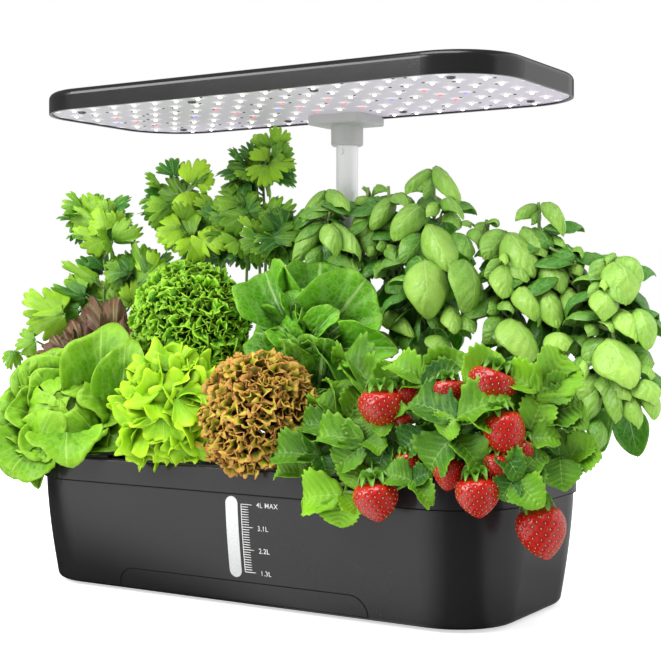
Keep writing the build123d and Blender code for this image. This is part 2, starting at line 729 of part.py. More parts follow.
board_reach = (
    LAMP_LENGTH - 2 * (LAMP_RIM_WALL + BOARD_CLEARANCE),
    LAMP_WIDTH - 2 * (LAMP_RIM_WALL + BOARD_CLEARANCE),
    LAMP_CORNER - LAMP_RIM_WALL - BOARD_CLEARANCE,
)
screw_places = GridLocations(SCREW_X, 2 * SCREW_Y, 4, 2)
button_places = [(side * BUTTON_PITCH / 2, BUTTON_Y) for side in (-1, 1)]
post_places = [(side * (PCB_LENGTH / 2 - BOSS_RADIUS), BUTTON_Y) for side in (-1, 1)]
hood_ceiling = LAMP_TOP - LAMP_WALL


def lamp_block(length, width, corner, low, high):
    """Block with the lamp head's rounded outline, on the lamp's own centre line."""
    with BuildPart() as block:
        with BuildSketch(Plane((0, LAMP_Y, low))):
            RectangleRounded(length, width, corner)
        extrude(amount=high - low)
    return block.part


with BuildPart() as lamp_hood:
    add(lamp_block(LAMP_LENGTH, LAMP_WIDTH, LAMP_CORNER, LAMP_BOTTOM, LAMP_TOP))
    fillet(lamp_hood.faces().sort_by(Axis.Z)[-1].edges(), LAMP_ROUND)
    add(
        lamp_block(
            LAMP_LENGTH - 2 * LAMP_RIM_WALL,
            LAMP_WIDTH - 2 * LAMP_RIM_WALL,
            LAMP_CORNER - LAMP_RIM_WALL,
            LAMP_BOTTOM,
            hood_ceiling,
        ),
        mode=Mode.SUBTRACT,
    )
    with BuildSketch(Plane((0, LAMP_Y, BOARD_TOP))):
        with screw_places:
            Circle(BOSS_RADIUS)
            Circle(SCREW_SHANK_RADIUS + TRIM_CLEARANCE, mode=Mode.SUBTRACT)
    extrude(amount=hood_ceiling - BOARD_TOP)
    with BuildSketch(Plane.XY.offset(PCB_TOP)):
        with Locations(post_places):
            Circle(BOSS_RADIUS)
    extrude(amount=hood_ceiling - PCB_TOP)
    with BuildSketch(Plane.XY.offset(hood_ceiling)):
        with Locations(button_places):
            Circle(BUTTON_RADIUS + BUTTON_CLEARANCE)
    extrude(amount=LAMP_WALL, mode=Mode.SUBTRACT)
save(lamp_hood, "lamp_hood")

with BuildPart() as light_board:
    add(lamp_block(*board_reach, BOARD_UNDER, BOARD_TOP))
    with BuildSketch(Plane((0, LAMP_Y, BOARD_UNDER))):
        with screw_places:
            Circle(SCREW_SHANK_RADIUS + TRIM_CLEARANCE)
    extrude(amount=BOARD_THICKNESS, mode=Mode.SUBTRACT)
save(light_board, "light_board")

RED_COLUMNS = (-8, -3, 0, 2, 6)
RED_ROWS = (-1, 0, 1)
BLUE_COLUMNS = (-9, -5, -1, 4, 7)
bracket_front_y = LAMP_Y + LAMP_WIDTH / 2 - BRACKET_DEPTH


def diode_colour(column, row):
    """Colour of the diode in a cell of the board's grid."""
    if column in RED_COLUMNS and row in RED_ROWS:
        return "red"
    if column in BLUE_COLUMNS and row == 0:
        return "blue"
    return "white"


def diode_fits(x, y):
    """True where a diode lies on the board, off its rounded corners and clear of the bracket."""
    edge = board_reach[2] - 2 * LED_SIZE
    out_x = abs(x) - (board_reach[0] / 2 - board_reach[2])
    out_y = abs(y) - (board_reach[1] / 2 - board_reach[2])
    in_corner = out_x > 0 and out_y > 0 and out_x**2 + out_y**2 > edge**2
    on_bracket = abs(x) < BRACKET_WIDTH / 2 + LED_SIZE and y + LAMP_Y > bracket_front_y - LED_SIZE
    return not in_corner and not on_bracket


diodes = {"white": [], "red": [], "blue": []}
for column in range(-(LED_COLUMNS // 2), LED_COLUMNS // 2 + 1):
    for row in range(-(LED_ROWS // 2), LED_ROWS // 2 + 1):
        spot = (column * LED_PITCH_X, row * LED_PITCH_Y)
        if diode_fits(*spot):
            diodes[diode_colour(column, row)].append(spot)

for colour, spots in diodes.items():
    with BuildPart() as diode_group:
        with BuildSketch(Plane((0, LAMP_Y, BOARD_UNDER - LED_THICKNESS))):
            with Locations(spots):
                Rectangle(LED_SIZE, LED_SIZE)
        extrude(amount=LED_THICKNESS)
    save(diode_group, f"diodes_{colour}")

with BuildPart() as board_screws:
    with BuildSketch(Plane((0, LAMP_Y, BOARD_UNDER - SCREW_HEAD))):
        with screw_places:
            Circle(SCREW_RADIUS)
    extrude(amount=SCREW_HEAD)
    with BuildSketch(Plane((0, LAMP_Y, BOARD_UNDER))):
        with screw_places:
            Circle(SCREW_SHANK_RADIUS)
    extrude(amount=(hood_ceiling - BOARD_UNDER) * 2 / 3)
save(board_screws, "board_screws")

with BuildPart() as control_board:
    with BuildSketch(Plane((0, BUTTON_Y, PCB_TOP - PCB_THICKNESS))):
        Rectangle(PCB_LENGTH, PCB_WIDTH)
    extrude(amount=PCB_THICKNESS)
save(control_board, "control_board")

with BuildPart() as tact_switches:
    with BuildSketch(Plane.XY.offset(PCB_TOP)):
        with Locations(button_places):
            Rectangle(SWITCH_SIZE, SWITCH_SIZE)
    extrude(amount=SWITCH_HEIGHT)
save(tact_switches, "tact_switches")

for name, place in zip(("power_button", "timer_button"), button_places):
    with BuildPart() as button:
        with BuildSketch(Plane.XY.offset(hood_ceiling - BUTTON_SKIRT)):
            with Locations(place):
                Circle(BUTTON_RADIUS + BUTTON_SKIRT)
        extrude(amount=BUTTON_SKIRT)
        with BuildSketch(Plane.XY.offset(hood_ceiling)):
            with Locations(place):
                Circle(BUTTON_RADIUS)
        extrude(amount=LAMP_WALL + BUTTON_PROUD)
        fillet(button.faces().sort_by(Axis.Z)[-1].edges(), BUTTON_PROUD / 2)
    save(button, name)

# The bracket's plate lies under the hood's rim, and its pad fills the rim's depth up to the board
bracket_y = bracket_front_y + BRACKET_DEPTH / 2
pad_depth = BRACKET_DEPTH - LAMP_RIM_WALL - BOARD_CLEARANCE
with BuildPart() as lamp_bracket:
    with BuildSketch(Plane((0, bracket_y, BRACKET_UNDER))):
        RectangleRounded(BRACKET_WIDTH, BRACKET_DEPTH, BRACKET_CORNER)
    extrude(amount=BRACKET_THICKNESS)
    fillet(lamp_bracket.faces().sort_by(Axis.Z)[0].edges(), BRACKET_ROUND / 2)
    with BuildSketch(Plane((0, bracket_front_y + pad_depth / 2, LAMP_BOTTOM))):
        RectangleRounded(BRACKET_WIDTH, pad_depth, BRACKET_CORNER)
    extrude(amount=BOARD_SINK)
    with BuildSketch(Plane((0, POLE_Y, BRACKET_UNDER - BRACKET_BOSS_HEIGHT))):
        Circle(BRACKET_BOSS_RADIUS)
    extrude(amount=BRACKET_BOSS_HEIGHT)
    fillet(lamp_bracket.faces().sort_by(Axis.Z)[0].edges(), BRACKET_ROUND)
    with BuildSketch(Plane((0, POLE_Y, BRACKET_UNDER - BRACKET_BOSS_HEIGHT))):
        Circle(TUBE_RADIUS + FIT_CLEARANCE)
    extrude(amount=TUBE_TOP - BRACKET_UNDER + BRACKET_BOSS_HEIGHT, mode=Mode.SUBTRACT)
save(lamp_bracket, "lamp_bracket")
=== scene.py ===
import math
import random
from functools import partial

import bmesh
import bpy
from mathutils import Matrix, Vector, kdtree, noise
from mathutils.bvhtree import BVHTree


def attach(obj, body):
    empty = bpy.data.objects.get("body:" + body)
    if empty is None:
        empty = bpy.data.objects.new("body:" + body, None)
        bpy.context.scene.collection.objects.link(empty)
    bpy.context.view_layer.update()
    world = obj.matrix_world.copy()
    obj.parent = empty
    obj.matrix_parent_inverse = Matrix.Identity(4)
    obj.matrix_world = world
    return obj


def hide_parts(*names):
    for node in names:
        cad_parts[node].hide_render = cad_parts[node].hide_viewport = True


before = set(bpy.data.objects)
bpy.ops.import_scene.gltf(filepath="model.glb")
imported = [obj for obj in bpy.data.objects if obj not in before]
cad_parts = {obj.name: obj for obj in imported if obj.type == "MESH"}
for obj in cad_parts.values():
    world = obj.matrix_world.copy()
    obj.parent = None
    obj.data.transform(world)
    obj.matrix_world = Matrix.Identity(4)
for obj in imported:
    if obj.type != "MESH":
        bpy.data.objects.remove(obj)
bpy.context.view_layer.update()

# ---- Worktop, studio and camera ----
# A white sweep carries the garden. A large softbox stands at the front left, a second one behind the right
# end and a third one overhead, and the camera looks from the right of the front.

scene = bpy.context.scene
scene.view_settings.view_transform = "Standard"
MM = 0.001
WHITE = (1, 1, 1)


def wire(tree, entry, value):
    """Links a socket to an input, or sets the input to a number, a vector or a colour."""
    if isinstance(value, bpy.types.NodeSocket):
        tree.links.new(value, entry)
    elif entry.type == "RGBA":
        entry.default_value = (*value[:3], 1)
    else:
        entry.default_value = value


def feed(tree, node, **inputs):
    """Wires a node's inputs by name; an underscore in a name stands for a space."""
    for label, value in inputs.items():
        wire(tree, node.inputs[label.replace("_", " ")], value)


def new_node(tree, kind, **inputs):
    """Shader node of a kind, with its inputs wired."""
    node = tree.nodes.new("ShaderNode" + kind)
    feed(tree, node, **inputs)
    return node


def math_node(tree, operation, *values):
    """Math node whose inputs are sockets or numbers; returns its output."""
    node = tree.nodes.new("ShaderNodeMath")
    node.operation = operation
    for entry, value in zip(node.inputs, values):
        wire(tree, entry, value)
    return node.outputs[0]


def mix_colour(tree, factor, first, second, blend="MIX"):
    """Mixes two colours, each a socket or a tuple; returns the result."""
    node = tree.nodes.new("ShaderNodeMix")
    node.data_type = "RGBA"
    node.blend_type = blend
    feed(tree, node, Factor=factor, A=first, B=second)
    return node.outputs["Result"]


def mix_light(tree, factor, first, second):
    """Mixes two backgrounds; returns the result."""
    node = tree.nodes.new("ShaderNodeMixShader")
    for entry, value in zip(node.inputs, (factor, first, second)):
        wire(tree, entry, value)
    return node.outputs[0]


def object_place(tree):
    """The piece's own coordinates, in metres."""
    return tree.nodes.new("ShaderNodeTexCoord").outputs["Object"]


def split(tree, vector):
    """X, Y and Z of a vector, as outputs."""
    return new_node(tree, "SeparateXYZ", Vector=vector).outputs


def new_material(name):
    """Material with a Principled shader; returns it with its node tree and its shader."""
    material = bpy.data.materials.new(name)
    material.use_nodes = True
    return material, material.node_tree, material.node_tree.nodes["Principled BSDF"]


def new_piece(name, mesh, body, slot, *materials):
    """Turns a bmesh into a named piece that rides on a body and wears the given materials."""
    source, mesh = mesh, bpy.data.meshes.new(name)
    source.to_mesh(mesh)
    source.free()
    mesh.polygons.foreach_set("use_smooth", [True] * len(mesh.polygons))
    piece = bpy.data.objects.new(name, mesh)
    scene.collection.objects.link(piece)
    for material in materials:
        mesh.materials.append(material)
    if body:
        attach(piece, body)
    return piece


FLOOR_REACH = 6.0
FLOOR_GLOW = 0.62
floor_mesh = bmesh.new()
bmesh.ops.create_grid(floor_mesh, x_segments=1, y_segments=1, size=FLOOR_REACH)
floor_white, tree, shader = new_material("white_sweep")
light_path = new_node(tree, "LightPath").outputs

# In reflections the sweep has black cards on it, in front of the tank's right corner and beside its left
# end
WHITE_CARD, GREY_CARD, BLACK_CARD = (0.86, 0.86, 0.86, 1), (0.5, 0.5, 0.5, 1), (0.03, 0.03, 0.03, 1)
CARD_EDGES = (
    (-118, WHITE_CARD), (-108, BLACK_CARD), (-78, BLACK_CARD), (-66, WHITE_CARD), (-20, WHITE_CARD),
    (16, BLACK_CARD), (60, BLACK_CARD), (74, GREY_CARD),
)
about_corner = new_node(tree, "Mapping", Vector=object_place(tree), Location=(-0.15, 0.04, 0))
from_corner = split(tree, about_corner.outputs["Vector"])
bearing = math_node(tree, "ARCTAN2", from_corner["X"], math_node(tree, "MULTIPLY", from_corner["Y"], -1))
cards = new_node(tree, "ValToRGB", Fac=math_node(tree, "MULTIPLY_ADD", bearing, 1 / (2 * math.pi), 0.5))
for degrees, shade in CARD_EDGES:
    cards.color_ramp.elements.new(0.5 + degrees / 360).color = shade
for stop in (cards.color_ramp.elements[0], cards.color_ramp.elements[-1]):
    stop.color = GREY_CARD
feed(
    tree, shader, Roughness=0.9, Specular_IOR_Level=0.0, Emission_Color=WHITE,
    Base_Color=mix_colour(tree, light_path["Is Glossy Ray"], WHITE_CARD, cards.outputs["Color"]),
    Emission_Strength=math_node(tree, "MULTIPLY", light_path["Is Camera Ray"], FLOOR_GLOW),
)
new_piece("floor", floor_mesh, None, None, floor_white)

# The room's light is dimmer in reflections, and plain white where it is looked at
ROOM_LIGHT, LIGHT_IN_GLOSS, BACKDROP = 0.62, 0.16, 1.0
scene.world = bpy.data.worlds.new("studio")
scene.world.use_nodes = True
tree = scene.world.node_tree
light_path = new_node(tree, "LightPath").outputs
room, dim_room, backdrop = (
    new_node(tree, "Background", Color=WHITE, Strength=strength).outputs[0]
    for strength in (ROOM_LIGHT, LIGHT_IN_GLOSS, BACKDROP)
)
seen = math_node(tree, "MAXIMUM", light_path["Is Camera Ray"], light_path["Is Transmission Ray"])
unseen_light = mix_light(tree, light_path["Is Glossy Ray"], room, dim_room)
feed(tree, tree.nodes["World Output"], Surface=mix_light(tree, seen, unseen_light, backdrop))

SOFTBOXES = {
    # name: (place, aimed at, width, height, watts)
    "front_left": ((-1.25, -1.75, 1.35), (0, 0, 0.2), 1.4, 1.1, 36),
    "right": ((1.4, 1.15, 0.7), (0, 0, 0.15), 3.2, 2.6, 20),
    "overhead": ((0.0, -0.7, 2.2), (0, 0, 0.15), 1.6, 1.0, 32),
}
for name, (place, target, width, height, watts) in SOFTBOXES.items():
    light = bpy.data.lights.new(name, "AREA")
    light.shape = "RECTANGLE"
    light.size, light.size_y = width, height
    light.energy = watts
    softbox = bpy.data.objects.new(name, light)
    scene.collection.objects.link(softbox)
    softbox.location = place
    softbox.rotation_euler = (Vector(target) - Vector(place)).to_track_quat("-Z", "Y").to_euler()

CAMERA_PLACE = (0.5809, -0.8883, 0.2092)
CAMERA_TURN = 31.89
CAMERA_DIP = 0.891
camera_lens = bpy.data.cameras.new("camera")
camera_lens.sensor_width = 36
camera_lens.lens = 77.85
scene.camera = bpy.data.objects.new("camera", camera_lens)
scene.collection.objects.link(scene.camera)
scene.camera.location = CAMERA_PLACE
scene.camera.rotation_euler = (math.radians(90 - CAMERA_DIP), 0, math.radians(CAMERA_TURN))

# ---- Tank and front panel ----
# The tank is one injection moulding in dark grey satin plastic. The panel at its foot clips into a shallow
# pocket, so only a fine groove shows.


def new_group(name, inputs):
    """Node group for a surface, whose inputs are given with their defaults; returns it and its two ends."""
    group = bpy.data.node_groups.new(name, "ShaderNodeTree")
    for label, default in inputs.items():
        kind = "Color" if isinstance(default, tuple) else "Float"
        entry = group.interface.new_socket(label, in_out="INPUT", socket_type="NodeSocket" + kind)
        entry.default_value = (*default, 1) if kind == "Color" else default
    for label, kind in (("Color", "Color"), ("Roughness", "Float"), ("Height", "Float")):
        group.interface.new_socket(label, in_out="OUTPUT", socket_type="NodeSocket" + kind)
    return group, group.nodes.new("NodeGroupInput").outputs, group.nodes.new("NodeGroupOutput")


def put_group(tree, group, **values):
    """Puts a surface group in a material and sets its inputs; returns its outputs."""
    node = tree.nodes.new("ShaderNodeGroup")
    node.node_tree = group
    feed(tree, node, **values)
    return node.outputs


def noise_value(tree, scale, detail=3, vector=None):
    """Noise on Object coordinates, or on another vector; returns the value."""
    vector = object_place(tree) if vector is None else vector
    return new_node(tree, "TexNoise", Vector=vector, Scale=scale, Detail=detail).outputs["Fac"]


def ramp(tree, value, low, high, to_low=0.0, to_high=1.0, ease="SMOOTHSTEP"):
    """Runs from to_low to to_high while the value goes from low to high; returns the result."""
    node = tree.nodes.new("ShaderNodeMapRange")
    node.interpolation_type = ease
    feed(tree, node, Value=value, From_Min=low, From_Max=high, To_Min=to_low, To_Max=to_high)
    return node.outputs[0]


def add_bump(tree, shader, height, strength, distance=0.0001):
    """Feeds a height through a Bump node to the shader's normal."""
    bump = new_node(tree, "Bump", Height=height, Strength=strength, Distance=distance)
    feed(tree, shader, Normal=bump.outputs["Normal"])


# Spark-eroded grain of a moulding, with the faint cloudiness and flow marks that handling and moulding
# leave
moulding, given, result = new_group(
    "moulded_grain", {"Color": (0.05, 0.05, 0.05), "Grain": 1500.0, "Gloss": 0.4}
)
grain = noise_value(moulding, given["Grain"], 4)
cloud = noise_value(moulding, 12, 5)
tone = math_node(moulding, "MULTIPLY_ADD", cloud, 0.24, 0.88)
tone = math_node(moulding, "ADD", tone, math_node(moulding, "MULTIPLY_ADD", grain, 0.1, -0.05))
feed(
    moulding, result, Color=mix_colour(moulding, 1.0, given["Color"], tone, "MULTIPLY"),
    Roughness=math_node(moulding, "MULTIPLY_ADD", cloud, 0.14, given["Gloss"]), Height=grain,
)


def moulded_plastic(name, colour, gloss=0.34, grain=1500.0, bump=0.2):
    """Satin moulded plastic in one colour."""
    material, tree, shader = new_material(name)
    surface = put_group(tree, moulding, Color=colour, Grain=grain, Gloss=gloss)
    feed(tree, shader, Base_Color=surface["Color"], Roughness=surface["Roughness"])
    add_bump(tree, shader, surface["Height"], bump)
    return material


def dress(material, *names):
    """Gives CAD nodes a material."""
    for name in names:
        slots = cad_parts[name].data.materials
        slots.clear()
        slots.append(material)


# Painted shadow: a thin near-black, rough band along the parting line between tank and lid stands in for the
# shade in the seam, where the two mouldings meet face to face
SEAM_SHADOW_HALF = 0.45
SEAM_SHADOW_BLACK = (0.001, 0.001, 0.001)
seam_z = max(v.co.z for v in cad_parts["tank"].data.vertices)
dark_grey_plastic, tree, shader = new_material("dark_grey_plastic")
surface = put_group(tree, moulding, Color=(0.015, 0.015, 0.0155), Gloss=0.18)
off_seam = math_node(tree, "SUBTRACT", split(tree, object_place(tree))["Z"], seam_z)
seam_shadow = ramp(tree, math_node(tree, "ABSOLUTE", off_seam), 1.6 * SEAM_SHADOW_HALF * MM, SEAM_SHADOW_HALF * MM)
feed(
    tree, shader, Base_Color=mix_colour(tree, seam_shadow, surface["Color"], SEAM_SHADOW_BLACK),
    Roughness=math_node(tree, "MAXIMUM", surface["Roughness"], seam_shadow),
)
add_bump(tree, shader, surface["Height"], 0.2)
dress(dark_grey_plastic, "tank", "front_panel")

# ---- Feet ----
# Five pads of soft black rubber stuck under the tank's floor, one near each corner and one in the middle that
# keeps the full tank's floor from sagging.

foot_rubber = moulded_plastic("foot_rubber", (0.018, 0.018, 0.018), gloss=0.62, grain=900.0, bump=0.4)
dress(foot_rubber, "feet")

# ---- Water window ----
# A strip of frosted clear plastic, bonded into the slot of the tank. It looks white where the empty upper
# part lets light through and grey towards the water.

WINDOW_GREY_BELOW, WINDOW_WHITE_ABOVE = 0.022, 0.075
window_frost, tree, shader = new_material("window_frost")
up = ramp(tree, split(tree, object_place(tree))["Z"], WINDOW_GREY_BELOW, WINDOW_WHITE_ABOVE, ease="LINEAR")
frost = mix_colour(tree, up, (0.56, 0.58, 0.58), (0.84, 0.85, 0.85))
speckle = noise_value(tree, 900, 2)
feed(
    tree, shader, Base_Color=mix_colour(tree, 0.12, frost, speckle, "MULTIPLY"),
    Roughness=math_node(tree, "MULTIPLY_ADD", speckle, 0.2, 0.18), Coat_Weight=0.3,
)
add_bump(tree, shader, speckle, 0.15)
dress(window_frost, "level_window")

# ---- Litre scale ----
# White ink printed on the tank beside the window: an upright line, a short tick for every tenth of a litre
# and a longer one with a figure at each stage.

SCALE_X = 9.2
SCALE_STAGES = ((1.3, "1.3L", 26.0), (2.2, "2.2L", 41.7), (3.1, "3.1L", 57.4), (4.0, "4L MAX", 73.6))
SCALE_LOW, SCALE_HIGH = SCALE_STAGES[0][2], SCALE_STAGES[-1][2]
TENTHS_PER_STAGE = 9
SHORT_TICK, LONG_TICK = 6.0, 9.0
LABEL_X = 22.0
LABEL_HEIGHT = 3.5
CAPITAL_SHARE = 0.7
LINE_WIDTH = 0.55
INK_PROUD = 0.05
UPRIGHT = Matrix.Rotation(math.radians(90), 4, "X")

tank_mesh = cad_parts["tank"].data
tank_surface = BVHTree.FromPolygons(
    [v.co for v in tank_mesh.vertices], [tuple(p.vertices) for p in tank_mesh.polygons]
)


def ink_line(bm, x0, x1, z0, z1):
    """Flat strip of ink between two corners, in millimetres, drawn upright in the XZ plane."""
    strips = max(1, round(abs(z1 - z0) / 3))
    made = bmesh.ops.create_grid(bm, x_segments=1, y_segments=strips, size=0.5)["verts"]
    bmesh.ops.scale(bm, verts=made, vec=((x1 - x0) * MM, (z1 - z0) * MM, 1))
    bmesh.ops.rotate(bm, verts=made, cent=(0, 0, 0), matrix=UPRIGHT)
    bmesh.ops.translate(bm, verts=made, vec=((x0 + x1) / 2 * MM, 0, (z0 + z1) / 2 * MM))


ink = bmesh.new()
ink_line(ink, SCALE_X - LINE_WIDTH / 2, SCALE_X + LINE_WIDTH / 2, SCALE_LOW, SCALE_HIGH)
tenths = round((SCALE_STAGES[-1][0] - SCALE_STAGES[0][0]) * 10)
for tenth in range(tenths + 1):
    z = SCALE_LOW + (SCALE_HIGH - SCALE_LOW) * tenth / tenths
    reach = SHORT_TICK if tenth % TENTHS_PER_STAGE else LONG_TICK
    ink_line(ink, SCALE_X, SCALE_X + reach, z - LINE_WIDTH / 2, z + LINE_WIDTH / 2)
for _, label, z in SCALE_STAGES:
    words = bpy.data.curves.new("label", "FONT")
    words.body = label
    words.size = LABEL_HEIGHT * MM / CAPITAL_SHARE
    words.space_character = 1.05
    words.align_y = "CENTER"
    words.offset = 0.00002
    lettering = bpy.data.objects.new("label", words)
    scene.collection.objects.link(lettering)
    flat = bpy.data.meshes.new_from_object(lettering)
    bpy.data.objects.remove(lettering)
    flat.transform(Matrix.Translation((LABEL_X * MM, 0, z * MM)) @ UPRIGHT)
    ink.from_mesh(flat)
for v in ink.verts:
    on_front = tank_surface.ray_cast(Vector((v.co.x, -0.2, v.co.z)), Vector((0, 1, 0)))[0]
    v.co.y = on_front.y - INK_PROUD * MM
bmesh.ops.recalc_face_normals(ink, faces=ink.faces)
white_ink, tree, shader = new_material("white_ink")
wear = mix_colour(tree, noise_value(tree, 2500), (0.7, 0.7, 0.7), (0.9, 0.9, 0.9))
feed(tree, shader, Base_Color=wear, Roughness=0.5)
litre_scale = new_piece("litre_scale", ink, "base", "window_plastic", white_ink)
film = litre_scale.modifiers.new("film", "SOLIDIFY")
film.thickness = INK_PROUD * MM
film.offset = 0

# ---- Lid, planting deck and filling hatch ----
# One moulding in the tank's plastic closes the tank and holds the pods; its rim overhangs the tank, and the
# fine dark seam under it is shadow painted on the plastic. The hatch is a loose plate with a tab.

dress(dark_grey_plastic, "planting_deck", "hatch_cover")

# ---- Net cups and growing sponges ----
# Black slotted cups hang in the deck's holes by their rims, each with a plug of dark peat sponge.

LIFTED_PODS = (
    "butterhead", "leaf_lettuce", "red_frilly_lettuce", "strawberry_left", "strawberry_right", "oakleaf",
    "endive", "romaine",
)
cup_plastic = moulded_plastic("cup_plastic", (0.02, 0.02, 0.021), gloss=0.4)
peat, tree, shader = new_material("peat_sponge")
pores = new_node(tree, "TexVoronoi", Vector=object_place(tree), Scale=700)
fibre = mix_colour(tree, noise_value(tree, 260, 6), (0.03, 0.018, 0.01), (0.12, 0.075, 0.045))
feed(tree, shader, Base_Color=fibre, Roughness=0.95)
add_bump(tree, shader, pores.outputs["Distance"], 0.8, 0.0006)
dress(cup_plastic, "baskets_back", *(f"basket_{name}" for name in LIFTED_PODS))
dress(peat, "sponges_back", *(f"sponge_{name}" for name in LIFTED_PODS))

# ---- Circulation pump and power socket ----
# The pump is a sealed black body with a grille, a ferrite rotor on a ceramic pin and a silicone riser. The
# socket is a plain barrel jack pressed into the lid's back.

dress(
    moulded_plastic("pump_black", (0.022, 0.022, 0.024), gloss=0.45), "pump_body", "pump_cover",
    "power_inlet",
)
dress(moulded_plastic("silicone", (0.5, 0.51, 0.5), gloss=0.3, grain=300.0, bump=0.05), "riser_tube")
dress(moulded_plastic("ferrite", (0.07, 0.068, 0.066), gloss=0.55, grain=2200.0, bump=0.5), "pump_rotor")
dress(moulded_plastic("ceramic", (0.72, 0.7, 0.65), gloss=0.1, bump=0.02), "pump_shaft")

# ---- Telescopic pole ----
# A polished steel tube slides in a fixed sleeve. The ring at the sleeve's top grips it, and a sprung
# button near the tube's top latches it.

# Painted reflection: the steel is shaded as a nearly white, barely metallic surface, whose whiteness stands
# in for the white studio mirrored in the polished tube; the smears vary its tone and roughness
steel_with_painted_reflection, tree, shader = new_material("steel_with_painted_reflection")
lengthwise = new_node(tree, "Mapping", Vector=object_place(tree), Scale=(1, 1, 0.02))
smears = noise_value(tree, 30, 4)
feed(
    tree, shader, Base_Color=mix_colour(tree, smears, (0.94, 0.94, 0.95), (0.98, 0.98, 0.99)), Metallic=0.05,
    Roughness=math_node(tree, "MULTIPLY_ADD", smears, 0.12, 0.14),
)
add_bump(tree, shader, noise_value(tree, 2600, 3, lengthwise.outputs["Vector"]), 0.08, 0.00005)
dress(steel_with_painted_reflection, "pole_sleeve", "pole_tube", "lock_pin")
spring_steel, tree, shader = new_material("spring_steel")
temper = mix_colour(tree, noise_value(tree, 200, 4), (0.3, 0.3, 0.31), (0.45, 0.45, 0.46))
feed(tree, shader, Base_Color=temper, Metallic=1.0, Roughness=0.35)
dress(spring_steel, "lock_spring")
dress(dark_grey_plastic, "slide_collar")

# ---- Lamp bracket ----
# A light grey moulding screwed under the hood, whose boss takes the pole. Its grain is the same spark-
# eroded one as that of the other mouldings.

dress(moulded_plastic("bracket_grey", (0.50, 0.50, 0.50), gloss=0.36), "lamp_bracket")

# ---- Lamp hood and its keys ----
# A shallow dark grey moulding with a rounded upper edge; two glossy keys stand in its top at the back.

dress(moulded_plastic("hood_plastic", (0.014, 0.014, 0.0145), gloss=0.12), "lamp_hood")
key_plastic = moulded_plastic("key_plastic", (0.09, 0.09, 0.095), gloss=0.12, bump=0.03)
dress(key_plastic, "power_button", "timer_button")
dress(moulded_plastic("board_green", (0.02, 0.12, 0.05), gloss=0.3), "control_board")
dress(moulded_plastic("switch_black", (0.02, 0.02, 0.02), gloss=0.4), "tact_switches")

# ---- Light board ----
# An aluminium board in white solder mask. Its diodes stand in a regular grid, about half of them with a small
# dark resistor beside them. The mask's glow is painted light: faint all over, and brighter round each diode,
# where it stands in for the diodes' light falling on the mask.

PITCH_X, PITCH_Y = 19.5, 24.5
BOARD_Y = 2.6
SPILL_REACH, SPILL_CORE = 7.0, 1.0
board_white, tree, shader = new_material("board_white")
where = split(tree, object_place(tree))


def off_grid_squared(axis, pitch, centre):
    """Square of the distance in millimetres from the nearest line of the diodes' grid."""
    cell = math_node(tree, "MULTIPLY_ADD", where[axis], 1000 / pitch, 0.5 - centre / pitch)
    cell = math_node(tree, "SUBTRACT", math_node(tree, "FRACT", cell), 0.5)
    off = math_node(tree, "MULTIPLY", cell, pitch)
    return math_node(tree, "MULTIPLY", off, off)


# Painted light: the mask glows faintly all over, and brighter within a few millimetres of each diode
spread = math_node(
    tree, "SQRT",
    math_node(tree, "ADD", off_grid_squared("X", PITCH_X, 0), off_grid_squared("Y", PITCH_Y, BOARD_Y)),
)
painted_spill = ramp(tree, spread, SPILL_REACH, SPILL_CORE, ease="SMOOTHERSTEP")
feed(
    tree, shader, Base_Color=mix_colour(tree, noise_value(tree, 400), (0.60, 0.57, 0.66), (0.67, 0.64, 0.73)),
    Roughness=0.42, Emission_Color=mix_colour(tree, painted_spill, (0.12, 0.09, 0.14), (0.62, 0.57, 0.58)),
    Emission_Strength=1.0,
)
dress(board_white, "light_board")

BOARD_UNDER = 358.2
LED_BODY = 3.6
LED_DEPTH = 0.7
LED_DOME = 1.5
RESISTOR = Vector((1.9, 1.1, 0.5))
RESISTOR_OFF_X, RESISTOR_OFF_Y = 5.2, 3.1
RESISTOR_SHARE = 0.55


def lit(name, colour, strength):
    """Glowing phosphor or lens of a diode."""
    material, tree, shader = new_material(name)
    glow = mix_colour(tree, noise_value(tree, 900, 2), tuple(c * 0.8 for c in colour), colour)
    feed(tree, shader, Base_Color=glow, Emission_Color=glow, Emission_Strength=strength, Roughness=0.2)
    return material


def islands(mesh):
    """Centres of the separate solids of a mesh, from the mesh's own connected faces."""
    bm = bmesh.new()
    bm.from_mesh(mesh)
    bmesh.ops.remove_doubles(bm, verts=bm.verts, dist=1e-6)
    left, centres = set(bm.verts), []
    while left:
        stack, group = [left.pop()], []
        while stack:
            v = stack.pop()
            group.append(v.co.copy())
            for edge in v.link_edges:
                other = edge.other_vert(v)
                if other in left:
                    left.remove(other)
                    stack.append(other)
        centres.append(sum(group, Vector()) / len(group))
    bm.free()
    return sorted(centres, key=lambda c: (round(c.y, 4), round(c.x, 4)))


def place_made(bm, verts, size, centre):
    """Scales vertices that an operator just made, in millimetres, and moves them to a centre in metres."""
    bmesh.ops.scale(bm, verts=verts, vec=Vector(size) * MM)
    bmesh.ops.translate(bm, verts=verts, vec=centre)


def flat_shaded(piece):
    """Shades a piece's faces flat."""
    piece.data.polygons.foreach_set("use_smooth", [False] * len(piece.data.polygons))


